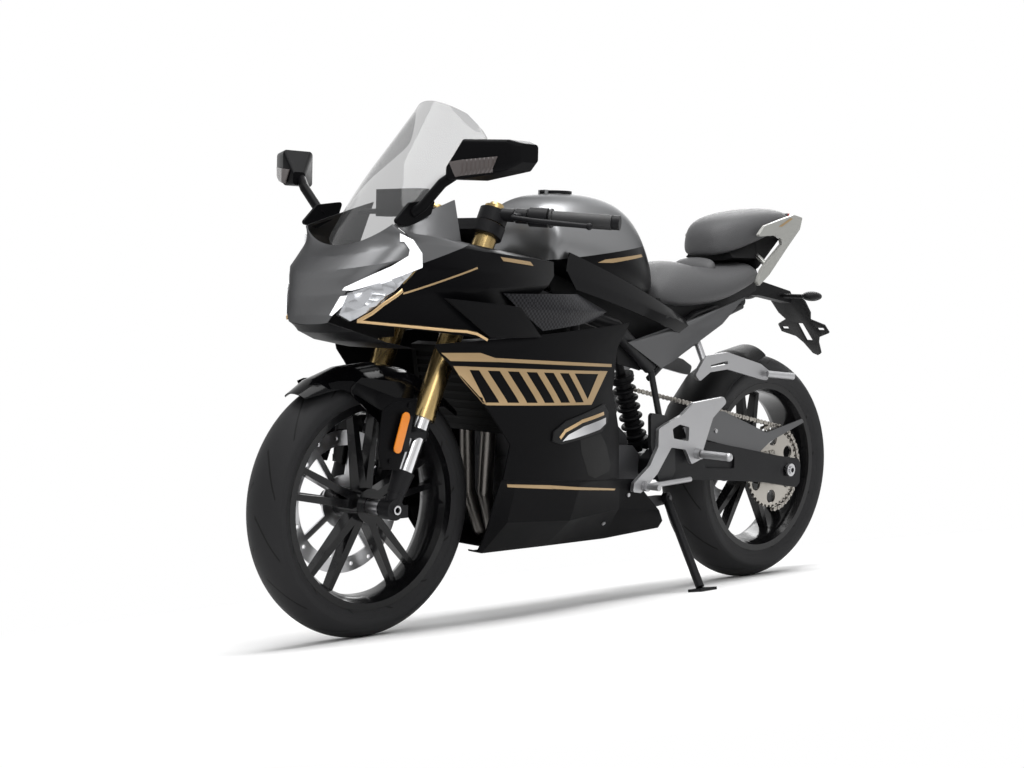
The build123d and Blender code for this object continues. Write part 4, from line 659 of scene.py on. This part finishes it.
rings = []
for x, z, half, depth in between_levels(LEVELS, SCREEN_STEPS):
    mid = Vector((x, 0, z))
    outer = [(mid + Vector((0, half * s, 0)) + back * depth * s * s) / 1000 for s in ARC]
    rings.append(outer + [p + back * SCREEN_THICK for p in reversed(outer)])
screen = loft("screen_sheet", rings, 0)
finish_piece(screen, "screen_sheet", "chassis", "screen_smoke", ("windscreen",), smooth=50)

# ---- dark inner covers, headlamp inside and plate holder ------------------------------------------------------------
under_tank = slab([(210, 830), (200, 765), (70, 722), (-25, 700), (-38, 598), (-120, 580), (-230, 622), (-335, 640),
                   (-345, 705), (-200, 722), (-100, 770), (0, 800), (100, 825)], 94, 98)
nose_web = slab([(600, 662), (700, 656), (790, 680), (800, 712), (720, 700), (600, 690)], -2, 2)
beside_mid = slab([(290, 730), (296, 668), (150, 655), (150, 720)], 100, 103)
under_seat = slab([(-188, 760), (-300, 758), (-400, 768), (-500, 796), (-590, 822), (-592, 786), (-500, 745),
                   (-400, 716), (-300, 700), (-188, 690)], 86, 90)
covers = [under_tank, other_side(under_tank), under_seat, other_side(under_seat), beside_mid, other_side(beside_mid),
          nose_web]
finish_piece(join(covers), "inner_covers", "chassis", "trim_plastic")

LAMP_INSIDE = material("lamp_inside", (0.42, 0.43, 0.45), 0.16, 0.85, coat=1.0)
tree = LAMP_INSIDE.node_tree
cells = add(tree, "ShaderNodeTexVoronoi", upright_coords(tree), {"Scale": 34})
bumped(tree, cells.outputs["Distance"], 0.6, 0.012)
skins["headlamps"].data.materials[0] = LAMP_INSIDE
lens_place, lens_normal = Vector((794, 114, 735)), Vector((0.66, 0.74, 0.05)).normalized()
ring = cylinder(lens_place - lens_normal * 6, lens_place + lens_normal * 3, 13, 32)
finish_piece(join([ring, other_side(ring)]), "projector_rings", "chassis", "lamp_clear", look=LOOKS["slider_chrome"])
globe = cylinder(lens_place, lens_place + lens_normal * 4.5, 10, 32, 0.002)
finish_piece(join([globe, other_side(globe)]), "projectors", "chassis", "lamp_clear", look=LOOKS["body_gloss_black"])


def cut_away(obj, goes):
    """Deletes a skin's faces whose centre, upright, passes a test."""
    pick(obj)
    for polygon in obj.data.polygons:
        polygon.select = goes(UPRIGHT @ polygon.center)
    bpy.ops.object.mode_set(mode="EDIT")
    bpy.ops.mesh.select_mode(type="FACE")
    bpy.ops.mesh.delete(type="FACE")
    bpy.ops.object.mode_set(mode="OBJECT")


# the solid's own lower bracket and stalks give way to the holder and pods below
BRACKET_END_X, BRACKET_END_Z, BRACKET_HALF = -0.846, 0.7705, 0.09
cut_away(skins["plate_bracket"],
         lambda c: c.x < BRACKET_END_X and c.z < BRACKET_END_Z or abs(c.y) > BRACKET_HALF)
PLATE_TOP, PLATE_RUN = Vector((-843, 0, 772)), Vector((-162, 0, -161)).normalized()
PLATE_EDGE = [(0, -8), (45, -2), (58, 20), (55, 65), (42, 92), (80, 113), (82, 142), (40, 160), (26, 185), (14, 228),
              (0, 236)]
PLATE_HOLES = [[(-9, 106), (9, 106), (11, 178), (-11, 178)], [(50, 122), (72, 122), (72, 134), (50, 134)],
               [(-72, 122), (-50, 122), (-50, 134), (-72, 134)]]


def plate_slab(points, half_thick):
    """A plate across the sloping holder, from (y, distance down its slope) in millimetres."""
    off = PLATE_RUN.cross(Vector((0, 1, 0)))
    return loft("plate", [[(PLATE_TOP + PLATE_RUN * down + Vector((0, y, 0)) + off * level) / 1000
                           for y, down in points] for level in (-half_thick, half_thick)], 0)


plate = plate_slab(PLATE_EDGE + [(-y, down) for y, down in reversed(PLATE_EDGE[1:-1])], 3)
for hole in PLATE_HOLES:
    cutter = plate_slab(hole, 8)
    apply(plate, "BOOLEAN", operation="DIFFERENCE", object=cutter, solver="EXACT")
    bpy.data.objects.remove(cutter)
apply(plate, "BEVEL", width=0.001, segments=2, limit_method="ANGLE")
finish_piece(plate, "plate_holder", "chassis", "trim_plastic")

# ---- chain ----------------------------------------------------------------------------------------------------------
LINK_PITCH = 0.01588
FRONT_SPROCKET, CHAIN_SIDE = Vector((-0.095, 0, 0.338)), 0.088
FRONT_PITCH_R, REAR_PITCH_R = 0.036, 0.115
reach_x, reach_z = FRONT_SPROCKET.x - REAR_AXLE.x, FRONT_SPROCKET.z - REAR_AXLE.z
span, climb = hypot(reach_x, reach_z), atan2(reach_z, reach_x)
straight = (span ** 2 - (REAR_PITCH_R - FRONT_PITCH_R) ** 2) ** 0.5
wrap = atan2(REAR_PITCH_R - FRONT_PITCH_R, straight)
TOP, LOW = climb + pi / 2 + wrap, climb - pi / 2 - wrap
lengths = (straight, (pi - 2 * wrap) * FRONT_PITCH_R, straight, (pi + 2 * wrap) * REAR_PITCH_R)
LINKS = 2 * round(sum(lengths) / LINK_PITCH / 2)


def around(centre, radius, angle):
    """The point at an angle on a circle in the chain's plane."""
    return centre + Vector((cos(angle), 0, sin(angle))) * radius


def chain_place(distance):
    """Point and heading on the chain's middle line, from the top of the rear sprocket forward."""
    run = 0
    while distance >= lengths[run] and run < 3:
        distance -= lengths[run]
        run += 1
    if run in (1, 3):
        centre, radius, start = ((FRONT_SPROCKET, FRONT_PITCH_R, TOP), (REAR_AXLE, REAR_PITCH_R, LOW))[run // 2]
        angle = start - distance / radius
        return around(centre, radius, angle), angle - pi / 2
    centre, radius, start = ((REAR_AXLE, REAR_PITCH_R, TOP), (FRONT_SPROCKET, FRONT_PITCH_R, LOW))[run // 2]
    return around(around(centre, radius, start), distance, start - pi / 2), start - pi / 2


def chain_link(side_y):
    """One link at the origin, along X, with plates at +-side_y, in millimetres."""
    pin_x, roller_r, eye_r, plate_half = 7.9, 4.6, 5.6, 0.8
    parts = [cylinder((-pin_x, -side_y, 0), (-pin_x, side_y, 0), roller_r, 12, 0)]
    for y in (-side_y, side_y):
        for x in (-pin_x, pin_x):
            parts.append(cylinder((x, y - plate_half, 0), (x, y + plate_half, 0), eye_r, 14, 0.0003))
        deselect()
        bpy.ops.mesh.primitive_cube_add(size=1)
        bar = bpy.context.object
        bar.data.transform(Matrix.Translation((0, y / 1000, 0)) @ Matrix.Diagonal((0.0158, 0.0016, 0.0078, 1)))
        parts.append(bar)
    return join(parts)


wide, narrow = chain_link(7.0), chain_link(5.0)
links = []
for index in range(LINKS):
    place, heading = chain_place((index + 0.5) * sum(lengths) / LINKS)
    model = wide if index % 2 else narrow
    copy = new_object("link", model.data.copy())
    copy.data.transform(Matrix.Translation(place + Vector((0, CHAIN_SIDE, 0))) @ Matrix.Rotation(-heading, 4, "Y"))
    links.append(copy)
for model in (wide, narrow):
    bpy.data.objects.remove(model)
finish_piece(join(links), "chain_links", "chassis", "chain_steel", ("drive_chain",))

# ---- reflectors, mudguard trim, mirror glass, signal lenses and indicators ------------------------------------------
skins["fork_reflectors"].data.materials[0] = LOOKS["cast_black"]
REFLECTOR_LOW, REFLECTOR_HIGH, REFLECTOR_HALF = Vector((699, 429)), Vector((678, 495)), 11
along = atan2(REFLECTOR_HIGH.y - REFLECTOR_LOW.y, REFLECTOR_HIGH.x - REFLECTOR_LOW.x)
outline = []
for centre, start in ((REFLECTOR_LOW, along + pi / 2), (REFLECTOR_HIGH, along - pi / 2)):
    for angle in (start + pi * k / 10 for k in range(11)):
        outline.append(centre + Vector((cos(angle), sin(angle))) * REFLECTOR_HALF)
capsule = slab(outline, 134, 137.5)
finish_piece(join([capsule, other_side(capsule)]), "amber_reflectors", "steering", "reflector_amber")

guard_plate = slab([(735, 511), (702, 526), (635, 533), (642, 497), (655, 455), (684, 379), (715, 383), (733, 384),
                    (744, 425), (738, 475)], 121, 125, 0.0012)
guard_plates = [guard_plate, other_side(guard_plate)]
for x, z in ((659, 519), (712, 400)):
    for side_y in (125, -125):
        guard_plates.append(bolt((x, side_y, z), (0, side_y, 0), 5.5, 3.5))
finish_piece(join(guard_plates), "mudguard_plates", "steering", "body_satin_black")
ribbon("mudguard_bands",
       [(826, 53, 566), (804, 60, 571), (772, 68, 571), (732, 94, 553), (690, 117, 536), (637, 123, 533)],
       [(818, 54, 553), (797, 61, 553), (766, 80, 540), (747, 104, 522), (738, 122, 511), (726, 123, 512)],
       LOOKS["body_satin_black"], "body_satin_black", 0.003, "steering")


def repaint(obj, look, goes):
    """Gives a second look to a skin's faces that pass a test of upright centre, normal and area."""
    obj.data.materials.append(look)
    last = len(obj.data.materials) - 1
    for polygon in obj.data.polygons:
        if goes(UPRIGHT @ polygon.center, turn.transposed() @ polygon.normal, polygon.area):
            polygon.material_index = last


MIRROR_GLASS = material("mirror_glass", (0.75, 0.76, 0.77), 0.04, 1.0, patchy=0.01)
repaint(skins["mirrors"], MIRROR_GLASS, lambda c, n, area: n.x < -0.75 and abs(c.y) > 0.27 and area > 1e-4)
repaint(skins["tail_cowl"], LOOKS["trim_plastic"], lambda c, n, area: abs(c.y) < 0.1)

SIGNAL_LENS = material("signal_lens", (0.06, 0.048, 0.046), 0.15, coat=0.2)
tree = SIGNAL_LENS.node_tree
ribs = add(tree, "ShaderNodeTexWave", upright_coords(tree), {"Scale": 70})
bumped(tree, ribs.outputs["Fac"], 0.8, 0.002)
# the lens's corners ahead of the mirror, low inner to low outer, then high inner to high outer
LENS_LOW = Vector((0.9, 0.286, 1.003)), Vector((0.9, 0.358, 1.014))
LENS_HIGH = Vector((0.9, 0.268, 1.034)), Vector((0.9, 0.37, 1.045))
deselect()
bpy.ops.mesh.primitive_grid_add(x_subdivisions=14, y_subdivisions=5, size=1)
signal = bpy.context.object
for vertex in signal.data.vertices:
    across, rise = vertex.co.x + 0.5, vertex.co.y + 0.5
    spot = LENS_LOW[0].lerp(LENS_LOW[1], across).lerp(LENS_HIGH[0].lerp(LENS_HIGH[1], across), rise)
    vertex.co = on_panel(skins["mirrors"], spot, 0.0012, (-1, 0, 0), (0.66, None, None))
if sum(p.normal.x for p in signal.data.polygons) < 0:
    edit(signal, ("flip_normals", {}))
apply(signal, "SOLIDIFY", thickness=0.002, offset=1)
apply(signal, "BEVEL", width=0.0006, segments=2, limit_method="ANGLE")
finish_piece(join([signal, other_side(signal)]), "mirror_signals", "chassis", "lamp_clear", look=SIGNAL_LENS)

POD_PLACE, POD_SIZE = Vector((-0.812, 0.112, 0.773)), (0.034, 0.024, 0.0135)
pods = []
for sign in (1, -1):
    deselect()
    bpy.ops.mesh.primitive_uv_sphere_add(segments=24, ring_count=14, radius=1)
    pod = bpy.context.object
    pod.data.transform(Matrix.Translation(POD_PLACE * Vector((1, sign, 1))) @ Matrix.Diagonal((*POD_SIZE, 1)))
    pods.append(pod)
finish_piece(join(pods), "indicator_pods", "chassis", "trim_plastic", smooth=60)

# ---- fasteners ------------------------------------------------------------------------------------------------------
bolts = [bolt(place, (0, 1, 0), 5.5, 4) for place in ((-262, 158, 470), (-352, 158, 425))]
for x, y, z in ((36, 133, 216), (-30, 152, 282)):
    for sign in (1, -1):
        _, foot, outward, _ = belly.closest_point_on_mesh(LEANED @ (Vector((x, sign * y, z)) / 1000))
        bolts.append(bolt((UPRIGHT @ foot) * 1000, turn.transposed() @ outward, 5, 3))
finish_piece(join(bolts), "guard_bolts", "chassis", "alloy_silver")

# ---- floor, light and camera ----------------------------------------------------------------------------------------
deselect()
bpy.ops.mesh.primitive_plane_add(size=30)
floor = bpy.context.object
floor.name = "floor"
bpy.ops.object.mode_set(mode="EDIT")
bpy.ops.mesh.subdivide(number_cuts=3)
bpy.ops.object.mode_set(mode="OBJECT")
FADE_FROM, FADE_TO = 1.2, 2.4   # distance from the motorcycle over which the floor turns plain white
white = bpy.data.materials.new("floor_white")
white.use_nodes = True
tree, paper = white.node_tree, shader_of(white)
paper.inputs["Base Color"].default_value = (0.97, 0.97, 0.97, 1)
paper.inputs["Roughness"].default_value = 0.9
paper.inputs["Specular IOR Level"].default_value = 0.0
coords = add(tree, "ShaderNodeTexCoord")
away = add(tree, "ShaderNodeVectorMath", coords.outputs["Object"], operation="LENGTH")
fade = add(tree, "ShaderNodeMapRange", away.outputs["Value"], {"From Min": FADE_FROM, "From Max": FADE_TO})
rays = add(tree, "ShaderNodeLightPath")
plain = calc(tree, "MAXIMUM", rays.outputs["Is Camera Ray"], rays.outputs["Is Transmission Ray"])
plain_white = add(tree, "ShaderNodeEmission")
blend = add(tree, "ShaderNodeMixShader")
tree.links.new(calc(tree, "MULTIPLY", fade.outputs["Result"], plain), blend.inputs[0])
tree.links.new(paper.outputs[0], blend.inputs[1])
tree.links.new(plain_white.outputs[0], blend.inputs[2])
tree.links.new(blend.outputs[0], tree.nodes["Material Output"].inputs["Surface"])
floor.data.materials.append(white)

WORLD_LIGHT = 0.45   # what lights the paint; the camera, glossy and transmission rays see full white
world = bpy.data.worlds.new("studio")
bpy.context.scene.world = world
world.use_nodes = True
tree = world.node_tree
background = tree.nodes["Background"]
background.inputs["Color"].default_value = (1, 1, 1, 1)
rays = add(tree, "ShaderNodeLightPath")
seen = calc(tree, "MAXIMUM", calc(tree, "MAXIMUM", rays.outputs["Is Camera Ray"], rays.outputs["Is Glossy Ray"]),
            rays.outputs["Is Transmission Ray"])
level = add(tree, "ShaderNodeMapRange", seen, {"To Min": WORLD_LIGHT, "To Max": 1.0})
tree.links.new(level.outputs["Result"], background.inputs["Strength"])


def area_light(name, place, target, size, power):
    """A rectangular light that faces its target."""
    data = bpy.data.lights.new(name, "AREA")
    data.shape = "RECTANGLE"
    data.size, data.size_y = size
    data.energy = power
    obj = new_object(name, data)
    obj.location = place
    obj.rotation_euler = (Vector(target) - Vector(place)).to_track_quat("-Z", "Y").to_euler()


area_light("top", (0.2, 0.6, 3.2), (0, 0, 0.5), (3.2, 1.6), 110)
area_light("left_front", (2.4, 3.4, 2.4), (0.2, 0, 0.6), (1.4, 2.0), 40)
area_light("back", (-2.8, -1.6, 2.6), (0, 0, 0.8), (2.2, 1.8), 60)

# the camera in the upright motorcycle's frame, with its focal length in pixels of a 1024 wide picture
CAMERA_PLACE, FOCAL, PICTURE_WIDE, SENSOR = (3.157, 2.954, 0.784), 1753.3, 1024, 36
YAW, PITCH, ROLL = radians(-134.78), radians(-3.24), radians(1.44)
look = Vector((cos(PITCH) * cos(YAW), cos(PITCH) * sin(YAW), sin(PITCH)))
right = look.cross(Vector((0, 0, 1))).normalized()
up = right.cross(look)
right, up = right * cos(ROLL) + up * sin(ROLL), up * cos(ROLL) - right * sin(ROLL)
camera_turn = Matrix((right, up, -look)).transposed().to_4x4()
lens = bpy.data.cameras.new("camera")
lens.sensor_width = SENSOR
lens.lens = FOCAL * SENSOR / PICTURE_WIDE
camera = new_object("camera", lens)
camera.matrix_world = LEANED @ Matrix.Translation(CAMERA_PLACE) @ camera_turn
bpy.context.scene.camera = camera
bpy.context.scene.view_settings.view_transform = "Standard"

deselect()
